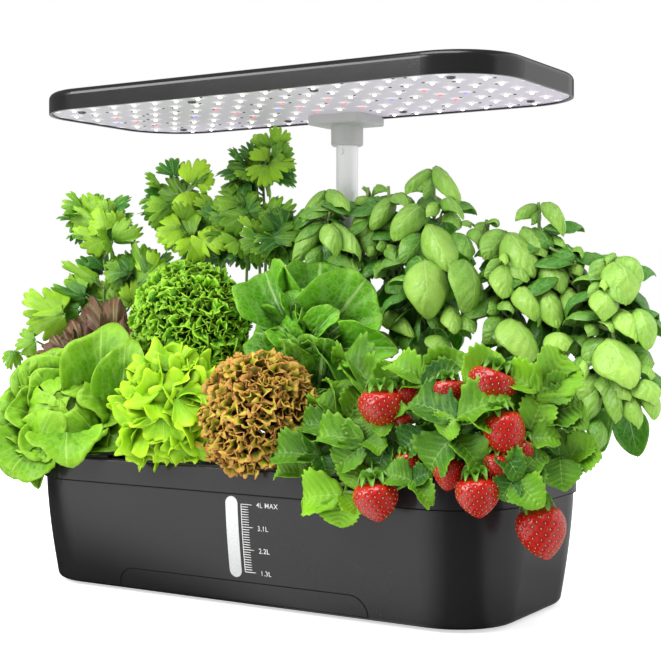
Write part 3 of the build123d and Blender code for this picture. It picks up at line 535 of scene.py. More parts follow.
diode_frame = moulded_plastic("diode_frame", (0.8, 0.8, 0.78), gloss=0.3, grain=4000.0, bump=0.05)
DIODES = {
    "white": lit("phosphor_white", (1.0, 0.97, 0.90), 3.0),
    "red": lit("phosphor_red", (1.0, 0.20, 0.28), 0.9),
    "blue": lit("phosphor_blue", (0.30, 0.28, 1.0), 0.9),
}
resistors = bmesh.new()
chance = random.Random(5)
for colour, glow_material in DIODES.items():
    node = f"diodes_{colour}"
    packages = bmesh.new()
    for centre in islands(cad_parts[node].data):
        body = bmesh.ops.create_cube(packages, size=1)["verts"]
        place_made(packages, body, (LED_BODY, LED_BODY, LED_DEPTH), centre)
        dome = bmesh.ops.create_uvsphere(packages, u_segments=8, v_segments=4, radius=1)["verts"]
        place_made(packages, dome, (LED_BODY / 2, LED_BODY / 2, LED_DOME), centre)
        for face in {f for v in dome for f in v.link_faces}:
            face.material_index = 1
        if chance.random() < RESISTOR_SHARE:
            off_x = chance.choice((-1, 1)) * RESISTOR_OFF_X
            off_y = chance.choice((-1, 1)) * RESISTOR_OFF_Y
            beside = centre + Vector((off_x, off_y, 0)) * MM
            beside.z = (BOARD_UNDER - RESISTOR.z / 2) * MM
            place_made(resistors, bmesh.ops.create_cube(resistors, size=1)["verts"], RESISTOR, beside)
    piece = new_piece(node + "_lit", packages, "lamp", f"diode_{colour}", diode_frame, glow_material)
    flat_shaded(piece)
    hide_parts(node)
bmesh.ops.bevel(
    resistors, geom=resistors.edges, offset=0.1 * MM, affect="EDGES", segments=1, profile=0.5, material=-1
)
resistor_black = moulded_plastic("resistor_black", (0.03, 0.028, 0.026), gloss=0.4)
new_piece("resistors", resistors, "lamp", "switch_plastic", resistor_black)

# ---- Board screws ----
# Dark zinc-plated pan head screws with a cross recess hold the board in the hood. Each stands at a turn of
# its own, as a driver leaves it.

HEAD_RADIUS = 3.0
HEAD_DEPTH = 1.2
CROWN_SHARE = 0.86
CROWN_DEPTH = 0.45 * HEAD_DEPTH
RECESS_HALF = 1.5
RECESS_DEPTH = 0.6
SLOT_HALF = 0.3


def made_of(kind, result):
    """The vertices or edges among what an operator made."""
    return [part for part in result["geom"] if isinstance(part, kind)]


def drawn_down(bm, edges, depth):
    """Extrudes a ring of edges downwards; returns the new ring's vertices and edges."""
    result = bmesh.ops.extrude_edge_only(bm, edges=edges)
    ring = made_of(bmesh.types.BMVert, result)
    bmesh.ops.translate(bm, verts=ring, vec=(0, 0, -depth * MM))
    return ring, [e for e in made_of(bmesh.types.BMEdge, result) if all(v in ring for v in e.verts)]


screws = bmesh.new()
for place in islands(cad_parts["board_screws"].data):
    head = bmesh.ops.create_grid(screws, x_segments=5, y_segments=5, size=RECESS_HALF * MM)["verts"]
    cells = list({f for v in head for f in v.link_faces})
    border = [e for e in {e for f in cells for e in f.edges} if e.is_boundary]
    crown_radius = HEAD_RADIUS * CROWN_SHARE * MM
    rim = bmesh.ops.create_circle(screws, cap_ends=False, radius=crown_radius, segments=20)["verts"]
    rim_edges = list({e for v in rim for e in v.link_edges})
    bmesh.ops.bridge_loops(screws, edges=border + rim_edges)
    shoulder, shoulder_edges = drawn_down(screws, rim_edges, CROWN_DEPTH)
    bmesh.ops.scale(screws, verts=shoulder, vec=(1 / CROWN_SHARE, 1 / CROWN_SHARE, 1))
    foot, foot_edges = drawn_down(screws, shoulder_edges, HEAD_DEPTH - CROWN_DEPTH)
    bmesh.ops.contextual_create(screws, geom=foot_edges)
    middles = {f: f.calc_center_median() for f in cells}
    cross = [f for f, middle in middles.items() if min(abs(middle.x), abs(middle.y)) < SLOT_HALF * MM]
    pit = bmesh.ops.extrude_face_region(screws, geom=cross)
    bmesh.ops.delete(screws, geom=cross, context="FACES_ONLY")
    sunk = made_of(bmesh.types.BMVert, pit)
    bmesh.ops.translate(screws, verts=sunk, vec=(0, 0, -RECESS_DEPTH * MM))
    made = [v for v in {*head, *rim, *shoulder, *foot, *sunk} if v.is_valid]
    turn = Matrix.Rotation(math.pi, 3, "X") @ Matrix.Rotation(chance.uniform(0, 1.5), 3, "Z")
    bmesh.ops.rotate(screws, verts=made, cent=(0, 0, 0), matrix=turn)
    bmesh.ops.translate(screws, verts=made, vec=(place.x, place.y, (BOARD_UNDER - HEAD_DEPTH) * MM))
bmesh.ops.recalc_face_normals(screws, faces=screws.faces)
zinc, tree, shader = new_material("dark_zinc")
tarnish = noise_value(tree, 900, 4)
feed(
    tree, shader, Base_Color=mix_colour(tree, tarnish, (0.1, 0.1, 0.105), (0.26, 0.26, 0.27)), Metallic=0.9,
    Roughness=math_node(tree, "MULTIPLY_ADD", tarnish, 0.25, 0.2),
)
board_screw_heads = new_piece("board_screw_heads", screws, "lamp", "screw_steel", zinc)
flat_shaded(board_screw_heads)
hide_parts("board_screws")

# ---- Butterhead lettuce ----
# A loose head of smooth, thin, pale green leaves: a folded heart, cupped leaves round it, and broad outer
# ones that lie out over the lid's rim.

GOLDEN = math.radians(137.508)


def notch(u, lobes):
    """Depth of the notches between a margin's lobes: 0 on a lobe's tip, 1 in a notch."""
    return 1 - abs(math.cos(u * math.pi / 2 * lobes))


def leaf_form(u, s, phases, shape):
    """Place of a leaf's point as shares of its width, its length and its relief, for u across and s along."""
    if shape.get("fan"):
        turn = u * shape.get("spread", 1.4)
        reach = (0.05 + 0.95 * s) * math.cos(turn) ** shape["fan"]
        reach *= 1 + shape.get("lobe", 0) * s * math.sin(u * math.pi * shape.get("lobes", 0) + phases[0])
        reach *= 1 - shape.get("cut", 0) * s * notch(u, shape.get("cuts", 0)) ** 3
        reach *= 1 - shape.get("scallop", 0) * s**3 * notch(u, shape.get("scallops", 0))
        x, y = reach * math.sin(turn), reach * math.cos(turn)
        margin, run = s, u * math.pi
    else:
        y = math.sin(s * math.pi / 2)
        belly = math.log(0.5) / math.log(shape.get("belly", 0.5))
        wide = math.sin(math.pi * min(1.0, max(y, 0.004)) ** belly) ** shape.get("blunt", 0.7)
        wide *= 1 - shape.get("lobe", 0) * (0.5 + 0.5 * math.cos(2 * math.pi * shape.get("lobes", 0) * s))
        x = 0.5 * u * max(wide, shape.get("foot", 0.05) * (1 - y))
        margin, run = abs(u), s * math.pi + (2 if u > 0 else 0)
    height = shape.get("cup", 0) * 4 * x * x
    for waves, swell, power, phase in zip(
        shape.get("waves", ()), shape.get("swells", ()), shape.get("powers", (2, 3, 5)), phases[1:]
    ):
        height += swell * margin**power * math.sin(run * waves + phase)
        slide = 0.5 * swell * margin**power * math.cos(run * waves * 1.05 + phase)
        x, y = x * (1 + slide), y * (1 + slide)
    if shape.get("ridges"):
        count, lean, swell = shape["ridges"]
        height += swell * abs(math.sin(math.pi * (count * y - lean * abs(u)))) * (1 - abs(u) ** 3)
    if shape.get("quilt"):
        height += shape["quilt"] * noise.noise(Vector((x * 9 + phases[0], y * 9 + phases[1], phases[2])))
    return x, y, height


# The reaches run from the centres of the lid's rounded corners. A leaf stays above the lid up to about 5 mm
# past its edge, and may hang lower beside that.
CORNER_X, CORNER_Y = 147, 33
REACH_OVER_LID, REACH_BESIDE_LID = 60, 64
ABOVE_LID, BESIDE_LID = 99, 86
SOFTENING = 6


def rest_on_lid(place):
    """Lifts a point that would sink into the lid or hang too far down beside it."""
    reach = math.hypot(max(0, abs(place.x) - CORNER_X), max(0, abs(place.y) - CORNER_Y))
    lowest = ABOVE_LID if reach < REACH_OVER_LID else BESIDE_LID
    if reach < REACH_BESIDE_LID and place.z < lowest + SOFTENING:
        place.z = lowest + SOFTENING * math.exp((place.z - lowest - SOFTENING) / SOFTENING)
    return place


def new_crown():
    """Empty mesh for a plant, with a UV map and a tint for each leaf, which sets its painted light and shade.
    """
    crown = bmesh.new()
    crown.loops.layers.uv.new("UVMap")
    crown.verts.layers.float.new("tint")
    return crown


def join_part(crown, part, material=0):
    """Moves a finished small mesh into the crown, its faces wearing the given material."""
    for face in part.faces:
        face.material_index = material
    mesh = bpy.data.meshes.new("part")
    part.to_mesh(mesh)
    part.free()
    crown.from_mesh(mesh)
    bpy.data.meshes.remove(mesh)


def add_leaf(crown, shape, root, tip, width, face, arch=0.0, hook=0.0, tint=0.5, seed=0, material=0):
    """Adds a leaf from root to tip, in millimetres, whose upper side looks towards face."""
    chance = random.Random(seed)
    phases = [chance.uniform(0, 6.28) for _ in range(6)]
    root, tip = Vector(root), Vector(tip)
    along = tip - root
    length = along.length
    along.normalize()
    across = along.cross(Vector(face)).normalized()
    up = across.cross(along)
    leaf = new_crown()
    tint_layer = leaf.verts.layers.float["tint"]
    bmesh.ops.create_grid(leaf, x_segments=shape["across"], y_segments=shape["along"], size=1, calc_uvs=True)
    for v in leaf.verts:
        x, y, height = leaf_form(v.co.x, (v.co.y + 1) / 2, phases, shape)
        height += arch * 4 * y * (1 - y)
        curl = max(0.0, y - 0.55) ** 2 * hook
        ahead, lift = (y - curl) * length, (height - curl * 1.6) * length
        place = root + along * ahead + across * (x * width) + up * lift
        v.co = rest_on_lid(place) * MM
        v[tint_layer] = tint + chance.uniform(-0.02, 0.02)
    join_part(crown, leaf, material)


def add_rosette(crown, shape, centre, axis, rings, seed):
    """Leaves in rings; a ring is count, opening, length, width, arch, hook, root radius and tint, the painted
    light and shade of its leaves.
    """
    axis = Vector(axis).normalized()
    side = axis.orthogonal().normalized()
    other = axis.cross(side)
    chance = random.Random(seed)
    turn = chance.uniform(0, 6.28)
    for count, opening, length, width, arch, hook, ring, tint in rings:
        for i in range(count):
            angle = turn + i * 2 * math.pi / count + chance.uniform(-0.2, 0.2)
            out = side * math.cos(angle) + other * math.sin(angle)
            lean = math.radians(opening + chance.uniform(-7, 7))
            reach = length * chance.uniform(0.88, 1.1)
            root = Vector(centre) + out * ring
            tip = root + (axis * math.cos(lean) + out * math.sin(lean)) * reach
            face = axis * math.sin(lean) - out * math.cos(lean)
            add_leaf(
                crown, shape, root, tip, width * chance.uniform(0.9, 1.1), face, arch, hook,
                tint + chance.uniform(-0.15, 0.15), chance.random(),
            )
        turn += GOLDEN


def add_dome(
    crown, shape, centre, radii, axis, opening, count, length, width, seed, tint=0.5, face=None, loose=0.45,
    flat=0.0,
):
    """Covers a dome with small leaves that stand out from it, their margins outwards, in a golden spiral."""
    axis = Vector(axis).normalized()
    side = axis.orthogonal().normalized()
    other = axis.cross(side)
    chance = random.Random(seed)
    for i in range(count):
        lean = math.acos(1 - (1 - math.cos(math.radians(opening))) * (i + 0.5) / count)
        angle = i * GOLDEN
        out = axis * math.cos(lean) + (side * math.cos(angle) + other * math.sin(angle)) * math.sin(lean)
        tip = Vector(centre) + Vector(c * r for c, r in zip(out, radii)) * chance.uniform(0.9, 1.06)
        stray = Vector((chance.uniform(-1, 1), chance.uniform(-1, 1), chance.uniform(-0.6, 0.9)))
        aim = (out - axis * flat + stray * loose).normalized()
        side_on = Vector((chance.uniform(-1, 1), chance.uniform(-1, 1), chance.uniform(-0.3, 1.2)))
        look = side_on if face is None else Vector(face) + side_on * 0.3
        reach = length * chance.uniform(0.85, 1.2)
        add_leaf(
            crown, shape, tip - aim * reach, tip, width * chance.uniform(0.85, 1.15), look, 0.0,
            chance.uniform(0.2, 1.0), tint + chance.uniform(-0.4, 0.4), chance.random(),
        )


def tint_of(tree):
    """The tint of each point of a plant: painted light and shade on leaves, the run from foot to tip on
    stalks, and ripeness with painted shade in the dimples on berries.
    """
    node = tree.nodes.new("ShaderNodeAttribute")
    node.attribute_name = "tint"
    return node.outputs["Fac"]


# Skin of a leaf: a pale midrib and side veins, tissue that swells between them, a lighter or darker
# margin, painted light and shade that run between the Shade and Sun colours by the tint, painted shade
# towards the leaf's base, and painted shade in the hollows
leaf_surface, given, result = new_group(
    "leaf_surface",
    {
        "Shade": (0.1, 0.3, 0.03), "Sun": (0.3, 0.5, 0.06), "Edge": (0.4, 0.6, 0.1), "Rib": (0.6, 0.7, 0.4),
        "Edge Share": 0.5, "Edge Start": 0.7, "Rib Share": 0.7, "Rib Width": 0.08, "Veins": 8.0,
        "Vein Lean": 2.0, "Vein Share": 0.4, "Fan": 0.0, "Net Share": 0.0, "Net Scale": 240.0, "Depth": 0.3,
        "Gloss": 0.4,
    },
)
reckon = partial(math_node, leaf_surface)
step = partial(ramp, leaf_surface)


def clamped(socket):
    """Keeps a factor between 0 and 1."""
    return new_node(leaf_surface, "Clamp", Value=socket).outputs[0]


u, v, _ = split(leaf_surface, leaf_surface.nodes.new("ShaderNodeUVMap").outputs["UV"])
off_rib = reckon("ABSOLUTE", reckon("MULTIPLY_ADD", u, 2.0, -1.0))
wander = reckon("MULTIPLY_ADD", noise_value(leaf_surface, 90, 4), 0.5, -0.25)
fine = noise_value(leaf_surface, 700)
not_fan = reckon("SUBTRACT", 1.0, given["Fan"])
rib_reach = reckon("MULTIPLY", given["Rib Width"], reckon("SUBTRACT", 1.15, v))
rib = reckon("SUBTRACT", 1.0, step(off_rib, reckon("MULTIPLY", rib_reach, 0.4), rib_reach))
lean = reckon("MULTIPLY", off_rib, given["Vein Lean"])
plain = reckon("SUBTRACT", reckon("MULTIPLY", v, given["Veins"]), lean)
rayed = reckon("MULTIPLY", u, given["Veins"])
path = reckon("ADD", reckon("MULTIPLY", rayed, given["Fan"]), reckon("MULTIPLY", plain, not_fan))
path = reckon("FRACT", reckon("ADD", path, wander))
from_vein = reckon("SUBTRACT", 0.5, reckon("ABSOLUTE", reckon("SUBTRACT", path, 0.5)))
vein = reckon("SUBTRACT", 1.0, step(from_vein, 0.03, 0.16))
vein = reckon("MULTIPLY", vein, reckon("SUBTRACT", 1.0, step(off_rib, 0.45, 1.0)))
veins = reckon("MULTIPLY", vein, given["Vein Share"])
cells = new_node(leaf_surface, "TexVoronoi", Vector=object_place(leaf_surface), Scale=given["Net Scale"])
cells.feature = "DISTANCE_TO_EDGE"
net = reckon("SUBTRACT", 1.0, step(cells.outputs["Distance"], 0.0, 0.14))
net = reckon("MULTIPLY", net, given["Net Share"])
ribs = reckon("MULTIPLY", rib, given["Rib Share"])
pale = clamped(reckon("MAXIMUM", reckon("MAXIMUM", ribs, veins), net))
rim = reckon("MAXIMUM", v, reckon("MULTIPLY", off_rib, not_fan))
rim = step(reckon("ADD", rim, reckon("MULTIPLY", wander, 0.5)), given["Edge Start"], 1.05)
# Painted light and shade: each leaf darker towards its base, deep in the plant, and its tint with random
# patches moves it from the Shade colour to the Sun colour
inward = reckon("MULTIPLY", reckon("SUBTRACT", v, 0.55), given["Depth"])
lit_side = reckon("ADD", tint_of(leaf_surface), reckon("MULTIPLY", wander, 1.2))
lit_side = clamped(reckon("ADD", lit_side, inward))
colour = mix_colour(leaf_surface, lit_side, given["Shade"], given["Sun"])
colour = mix_colour(leaf_surface, reckon("MULTIPLY", rim, given["Edge Share"]), colour, given["Edge"])
colour = mix_colour(leaf_surface, pale, colour, given["Rib"])
# Painted shade: ambient occlusion darkens the hollows between a plant's leaves
hollow = new_node(leaf_surface, "AmbientOcclusion", Distance=0.022)
hollow.samples = 6
hollow.only_local = True
shade = step(hollow.outputs["AO"], 0.0, 0.75, 0.3, 1.0)
swell = reckon("MULTIPLY", step(from_vein, 0.0, 0.4), given["Vein Share"])
blister = reckon("MULTIPLY", step(cells.outputs["Distance"], 0.0, 0.4), given["Net Share"])
swell = reckon("ADD", swell, reckon("MULTIPLY", blister, 2.0))
feed(
    leaf_surface, result, Color=mix_colour(leaf_surface, 1.0, colour, shade, "MULTIPLY"),
    Roughness=reckon("MULTIPLY_ADD", fine, 0.2, given["Gloss"]),
    Height=reckon("MULTIPLY_ADD", fine, 0.25, swell),
)


def leaf_skin(name, gloss=0.36, bump=0.6, glow=0.12, shine=0.3, **values):
    """Leaf material; the values are the leaf_surface group's inputs."""
    material, tree, shader = new_material(name)
    surface = put_group(tree, leaf_surface, Gloss=gloss, **values)
    feed(
        tree, shader, Base_Color=surface["Color"], Roughness=surface["Roughness"], Specular_IOR_Level=shine,
        Subsurface_Weight=glow, Subsurface_Radius=(0.5, 1.0, 0.2), Subsurface_Scale=0.003,
    )
    add_bump(tree, shader, surface["Height"], bump, 0.0006)
    return material


def finish_plant(name, bm, body, slot, material, thickness, replaces, *others):
    """Turns a crown into a piece with leaves of a real thickness, in place of the CAD's plain one."""
    piece = new_piece(name, bm, body, slot, material, *others)
    blade = piece.modifiers.new("blade", "SOLIDIFY")
    blade.thickness = thickness * MM
    blade.offset = 0
    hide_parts(replaces)


BUTTERHEAD_LEAF = {
    "across": 26, "along": 14, "fan": 0.45, "spread": 1.2, "cup": 0.1, "waves": (1.2, 2.9),
    "swells": (0.07, 0.04), "powers": (2, 3), "lobe": 0.05, "lobes": 2.2, "quilt": 0.07,
}
HEART_RADIUS = 27
HEART_AXIS = Vector((0.44, -0.75, 0.49)).normalized()
BUTTERHEAD_OUTER = (
    # root, tip, width, tint (painted light and shade)
    (-150, -46, 128, -146, -54, 200, 46, 0.6), (-126, -50, 130, -120, -56, 186, 34, 0.5),
    (-188, -50, 128, -190, -58, 180, 32, 0.5), (-172, -80, 114, -224, -84, 106, 40, 0.6),
    (-178, -84, 108, -186, -112, 86, 44, 0.55), (-150, -86, 116, -128, -112, 100, 44, 0.7),
)
crown = new_crown()
add_rosette(
    crown, BUTTERHEAD_LEAF, (-173, -59, 123), (0.44, -0.75, 0.49),
    [
        (6, 50, 44, 32, -0.1, 0.5, 9, 0.85), (7, 62, 48, 36, -0.08, 0.5, 10, 0.7),
        (8, 74, 51, 38, -0.06, 0.6, 10, 0.55), (8, 86, 55, 42, -0.04, 0.6, 10, 0.4),
        (9, 100, 55, 42, 0.0, 0.6, 10, 0.2),
    ],
    8,
)
side = HEART_AXIS.orthogonal().normalized()
for i in range(10):
    out = side * math.cos(i * GOLDEN) + HEART_AXIS.cross(side) * math.sin(i * GOLDEN)
    low, high, reach = math.radians(105), math.radians(2 + 3.4 * i), HEART_RADIUS + 0.6 * i
    root = HEART_AXIS * math.cos(low) + out * math.sin(low)
    tip = HEART_AXIS * math.cos(high) + out * math.sin(high)
    heart = Vector((-171, -62, 126))
    add_leaf(
        crown, BUTTERHEAD_LEAF, heart + root * reach, heart + tip * reach, 26 + i, -root - tip, -0.18, -0.3,
        1.2 - 0.05 * i, i + 40,
    )
for i, row in enumerate(BUTTERHEAD_OUTER):
    add_leaf(crown, BUTTERHEAD_LEAF, row[0:3], row[3:6], row[6], (0.5, -0.7, 0.5), 0.05, 0.4, row[7], i + 20)
butterhead_skin = leaf_skin(
    "butterhead_skin", Shade=(0.03, 0.19, 0.004), Sun=(0.23, 0.54, 0.009), Edge=(0.34, 0.63, 0.03),
    Rib=(0.54, 0.76, 0.2), Edge_Share=0.5, Edge_Start=0.75, Rib_Share=0.5, Rib_Width=0.06, Veins=9.0,
    Vein_Share=0.18, Fan=1.0, Net_Share=0.16, Net_Scale=170.0, Depth=0.7,
)
finish_plant(
    "butterhead_leaves", crown, "pod_butterhead", "leaf_butterhead", butterhead_skin, 0.5, "butterhead",
)

# ---- Leaf lettuce ----
# A loose head without a heart: thin yellow-green leaves with wavy, lobed margins. They stand out from a
# dome and turn towards the front.

LEAF_LETTUCE_LEAF = {
    "across": 32, "along": 8, "fan": 0.35, "spread": 1.3, "cup": 0.1, "waves": (1.4, 3.4),
    "swells": (0.14, 0.1), "powers": (1.6, 3), "lobe": 0.1, "lobes": 3.6, "scallop": 0.08, "scallops": 7,
}
crown = new_crown()
add_dome(
    crown, LEAF_LETTUCE_LEAF, (-58, -72, 130), (46, 38, 48), (0.3, -0.6, 0.6), 120, 105, 30, 28, 5, 0.55,
    (0.5, -0.7, 0.5), 0.4, 0.7,
)
leaf_lettuce_skin = leaf_skin(
    "leaf_lettuce_skin", Shade=(0.11, 0.40, 0.003), Sun=(0.44, 0.86, 0.007), Edge=(0.56, 0.94, 0.02),
    Rib=(0.6, 0.8, 0.15), Edge_Share=0.6, Edge_Start=0.6, Rib_Share=0.5, Rib_Width=0.05, Veins=11.0,
    Vein_Share=0.25, Fan=1.0, Net_Share=0.12, Net_Scale=260.0, Depth=0.7,
)
finish_plant(
    "leaf_lettuce_leaves", crown, "pod_leaf_lettuce", "leaf_yellow_green", leaf_lettuce_skin, 0.45,
    "leaf_lettuce",
)

# ---- Red frilly lettuce ----
# A dome of finely frilled leaves, yellow-green inside with red-brown frills. Small leaves stand out all
# over it, and larger ones fill it from within.

RED_FRILLY_LEAF = {
    "across": 22, "along": 3, "fan": 0.3, "spread": 1.2, "cup": 0.15, "waves": (1.4, 3.4),
    "swells": (0.16, 0.16), "powers": (1.3, 2), "scallop": 0.2, "scallops": 5,
}
crown = new_crown()
add_dome(
    crown, RED_FRILLY_LEAF, (12, -68, 130), (47, 40, 50), (0.2, -0.5, 0.8), 115, 430, 12, 11, 11, 0.55,
    None, 0.35,
)
# The larger leaves within get a low tint: painted shade inside the head
add_dome(crown, RED_FRILLY_LEAF, (12, -68, 130), (37, 30, 40), (0.2, -0.5, 0.8), 115, 80, 22, 24, 12, 0.0)
red_frilly_skin = leaf_skin(
    "red_frilly_skin", Shade=(0.20, 0.06, 0.03), Sun=(0.68, 0.86, 0.035), Edge=(0.76, 0.17, 0.085),
    Rib=(0.5, 0.6, 0.2), Edge_Share=0.75, Edge_Start=0.55, Rib_Share=0.4, Rib_Width=0.04, Veins=9.0,
    Vein_Share=0.2, Fan=1.0, Depth=0.8,
)
finish_plant(
    "red_frilly_leaves", crown, "pod_red_frilly_lettuce", "leaf_red_frilly", red_frilly_skin, 0.4,
    "red_frilly_lettuce",
)

# ---- Endive ----
# A taller dome of very finely curled green leaves with pale tips, built like the red one: small cut leaves
# over larger ones.

ENDIVE_LEAF = {
    "across": 22, "along": 3, "fan": 0.3, "spread": 1.2, "cup": 0.15, "waves": (1.6, 3.6),
    "swells": (0.18, 0.18), "powers": (1.2, 1.8), "cut": 0.35, "cuts": 5,
}
crown = new_crown()
add_dome(
    crown, ENDIVE_LEAF, (-100, -2, 194), (56, 28, 52), (0.2, -0.4, 0.8), 120, 450, 11.5, 10.5, 21, 0.5,
    None, 0.35,
)
# The larger leaves within get a low tint: painted shade inside the head
add_dome(crown, ENDIVE_LEAF, (-100, -2, 194), (44, 20, 42), (0.2, -0.4, 0.8), 120, 80, 22, 24, 22, -0.1)
endive_skin = leaf_skin(
    "endive_skin", Shade=(0.05, 0.28, 0.006), Sun=(0.30, 0.80, 0.007), Edge=(0.56, 0.98, 0.07),
    Rib=(0.5, 0.7, 0.25), Edge_Share=0.8, Edge_Start=0.68, Rib_Share=0.4, Rib_Width=0.05, Veins=9.0,
    Vein_Share=0.2, Fan=1.0, Depth=0.9,
)
finish_plant("endive_leaves", crown, "pod_endive", "leaf_endive", endive_skin, 0.4, "endive")

# ---- Romaine ----
# Upright broad leaves that narrow to a pale, thick midrib. Their blistered blades are deep green with
# lighter margins.

SEEN_SIDE = (0.68, -0.73, 0.06)


def add_leaves(crown, shape, rows, face, arch, hook, seed, spread=1.12):
    """Adds leaves from rows of root, tip, width, tint (painted light and shade) and perhaps where the upper
    side looks.
    """
    chance = random.Random(seed)
    for row in rows:
        root, tip = Vector(row[0:3]), Vector(row[3:6])
        aim = Vector(row[8] if len(row) > 8 else face) + Vector(chance.uniform(-0.35, 0.35) for _ in range(3))
        add_leaf(
            crown, shape, root, tip, row[6] * spread, aim, arch * chance.uniform(0.5, 1.4),
            hook * chance.uniform(0.4, 1.5), row[7], chance.random(),
        )


ROMAINE_LEAVES = (
    # root, tip, width, tint (painted light and shade)
    (3, -10, 187, -36, 2, 242, 30, .6), (8, 6, 198, 6, 24, 249, 40, .5), (25, -6, 187, 58, 4, 232, 40, .7),
    (44, -18, 179, 95, -24, 182, 22, .75), (18, -20, 177, -9, -22, 201, 18, .95),
    (29, -26, 187, 51, -26, 209, 14, 1), (12, -20, 198, 0, -20, 225, 14, .75),
    (9, -8, 181, -42, -6, 192, 27, .3), (21, -14, 187, 9, -12, 217, 18, .35),
    (28, -16, 187, 27, -10, 217, 18, .45), (33, -20, 184, 52, -18, 199, 16, .55),
    (24, -24, 181, 46, -30, 182, 13, .8), (35, -14, 180, 62, -26, 158, 23, .45),
    (11, -14, 178, -20, -18, 169, 24, .3), (23, 8, 192, 53, 18, 210, 27, .3),
    (-9, 10, 194, -38, 22, 226, 28, .25),
)
ROMAINE_LEAF = {
    "across": 36, "along": 18, "fan": 0.35, "spread": 1.15, "cup": 0.2, "waves": (1.7, 4.5),
    "swells": (0.07, 0.03), "powers": (2, 3), "quilt": 0.05,
}
crown = new_crown()
add_leaves(crown, ROMAINE_LEAF, ROMAINE_LEAVES, (0.6, -0.7, 0.35), 0.05, 0.4, 31, 1.15)
add_rosette(
    crown, ROMAINE_LEAF, (12, 0, 96), (0.1, -0.05, 1),
    [
        (5, 6, 106, 34, 0.0, 0.2, 6, 0.4), (7, 16, 100, 38, 0.0, 0.3, 8, 0.2),
        (7, 30, 84, 40, 0.0, 0.4, 9, 0.05),
    ],
    32,
)
romaine_skin = leaf_skin(
    "romaine_skin", 0.3, 1.0, Shade=(0.012, 0.12, 0.004), Sun=(0.16, 0.52, 0.008), Edge=(0.28, 0.64, 0.03),
    Rib=(0.50, 0.76, 0.26), Edge_Share=0.6, Edge_Start=0.8, Rib_Share=0.8, Rib_Width=0.1, Veins=5.0,
    Vein_Share=0.25, Fan=1.0, Net_Share=0.26, Net_Scale=210.0, Depth=0.9,
)
finish_plant("romaine_leaves", crown, "pod_romaine", "leaf_romaine", romaine_skin, 0.5, "romaine")

# ---- Oakleaf lettuce ----
# Rounded lobes of dark purple-brown, olive towards the middle, held out over the left end. The leaves in
# its middle stand in rings.

OAKLEAF_LEAVES = (
    # root, tip, width, tint (painted light and shade)
    (-212, -10, 163, -247, 0, 190, 19, .4), (-220, -12, 163, -251, -6, 182, 17, .6),
    (-210, -14, 162, -247, -14, 167, 16, .3), (-175, 0, 175, -214, 14, 218, 17, .5),
    (-179, 0, 175, -190, 14, 221, 14, .7), (-172, -4, 166, -176, 8, 201, 17, .5),
    (-162, -8, 164, -159, -2, 194, 17, .4), (-157, -10, 163, -132, -10, 184, 19, .3),
    (-164, -14, 161, -140, -16, 175, 17, .2), (-203, -6, 161, -228, 4, 201, 16, .6),
    (-203, 6, 165, -226, 20, 208, 19, .3), (-192, 8, 165, -206, 22, 208, 19, .4),
    (-200, -20, 161, -211, -26, 174, 14, .3), (-222, -10, 155, -266, 0, 172, 17, .2),
    (-207, 14, 161, -188, 26, 210, 17, .3),
)
OAKLEAF_LEAF = {
    "across": 36, "along": 10, "fan": 0.3, "spread": 1.2, "cup": 0.05, "cut": 0.2, "cuts": 5,
    "waves": (1.6, 4), "swells": (0.1, 0.05), "powers": (1.5, 2.5), "quilt": 0.04,
}
crown = new_crown()
add_leaves(crown, OAKLEAF_LEAF, OAKLEAF_LEAVES, (0.6, -0.7, 0.4), 0.08, 0.6, 41, 1.2)
add_rosette(
    crown, OAKLEAF_LEAF, (-186, -2, 96), (-0.2, -0.1, 1),
    [
        (6, 8, 74, 30, 0.05, 0.6, 5, 0.5), (8, 24, 78, 32, 0.05, 0.8, 6, 0.35),
        (9, 42, 70, 32, 0.05, 0.8, 6, 0.2),
    ],
    42,
)
oakleaf_skin = leaf_skin(
    "oakleaf_skin", Shade=(0.07, 0.03, 0.03), Sun=(0.24, 0.15, 0.05), Edge=(0.17, 0.065, 0.06),
    Rib=(0.32, 0.36, 0.12), Edge_Share=0.8, Edge_Start=0.5, Rib_Share=0.7, Rib_Width=0.06, Veins=5.0,
    Vein_Share=0.3, Fan=1.0,
)
finish_plant("oakleaf_leaves", crown, "pod_oakleaf", "leaf_purple", oakleaf_skin, 0.45, "oakleaf")

# ---- Coriander ----
# Two tall tufts of thin stalks that carry small scalloped fans. Each leaf has a petiole from the nearest
# stem, and the stems rise from the planting deck.


def line_through(points, s):
    """Place and direction at share s of a smooth line through the points."""
    at = min(s * (len(points) - 1), len(points) - 1.001)
    i, t = int(at), at - int(at)
    a, b, c, d = (points[max(0, min(len(points) - 1, k))] for k in range(i - 1, i + 3))
    first, second, third = c - a, 2 * a - 5 * b + 4 * c - d, 3 * b - a - 3 * c + d
    place = (2 * b + first * t + second * t * t + third * t**3) / 2
    return place, (first + 2 * second * t + 3 * third * t * t).normalized()


def add_stalk(crown, points, thick, thin):
    """Adds a round stalk along a smooth line through the points; it wears the second material."""
    points = [Vector(p) for p in points]
    stalk = new_crown()
    tint_layer = stalk.verts.layers.float["tint"]
    bmesh.ops.create_grid(stalk, x_segments=6, y_segments=4 * (len(points) - 1), size=1, calc_uvs=True)
    for v in stalk.verts:
        turn, s = (v.co.x + 1) * math.pi, (v.co.y + 1) / 2
        place, ahead = line_through(points, s)
        side = ahead.cross(Vector(SEEN_SIDE)).normalized()
        out = side * math.cos(turn) + side.cross(ahead) * math.sin(turn)
        v.co = (place + out * (thick + (thin - thick) * s)) * MM
        v[tint_layer] = s
    bmesh.ops.remove_doubles(stalk, verts=stalk.verts, dist=0.00001)
    join_part(crown, stalk, 1)


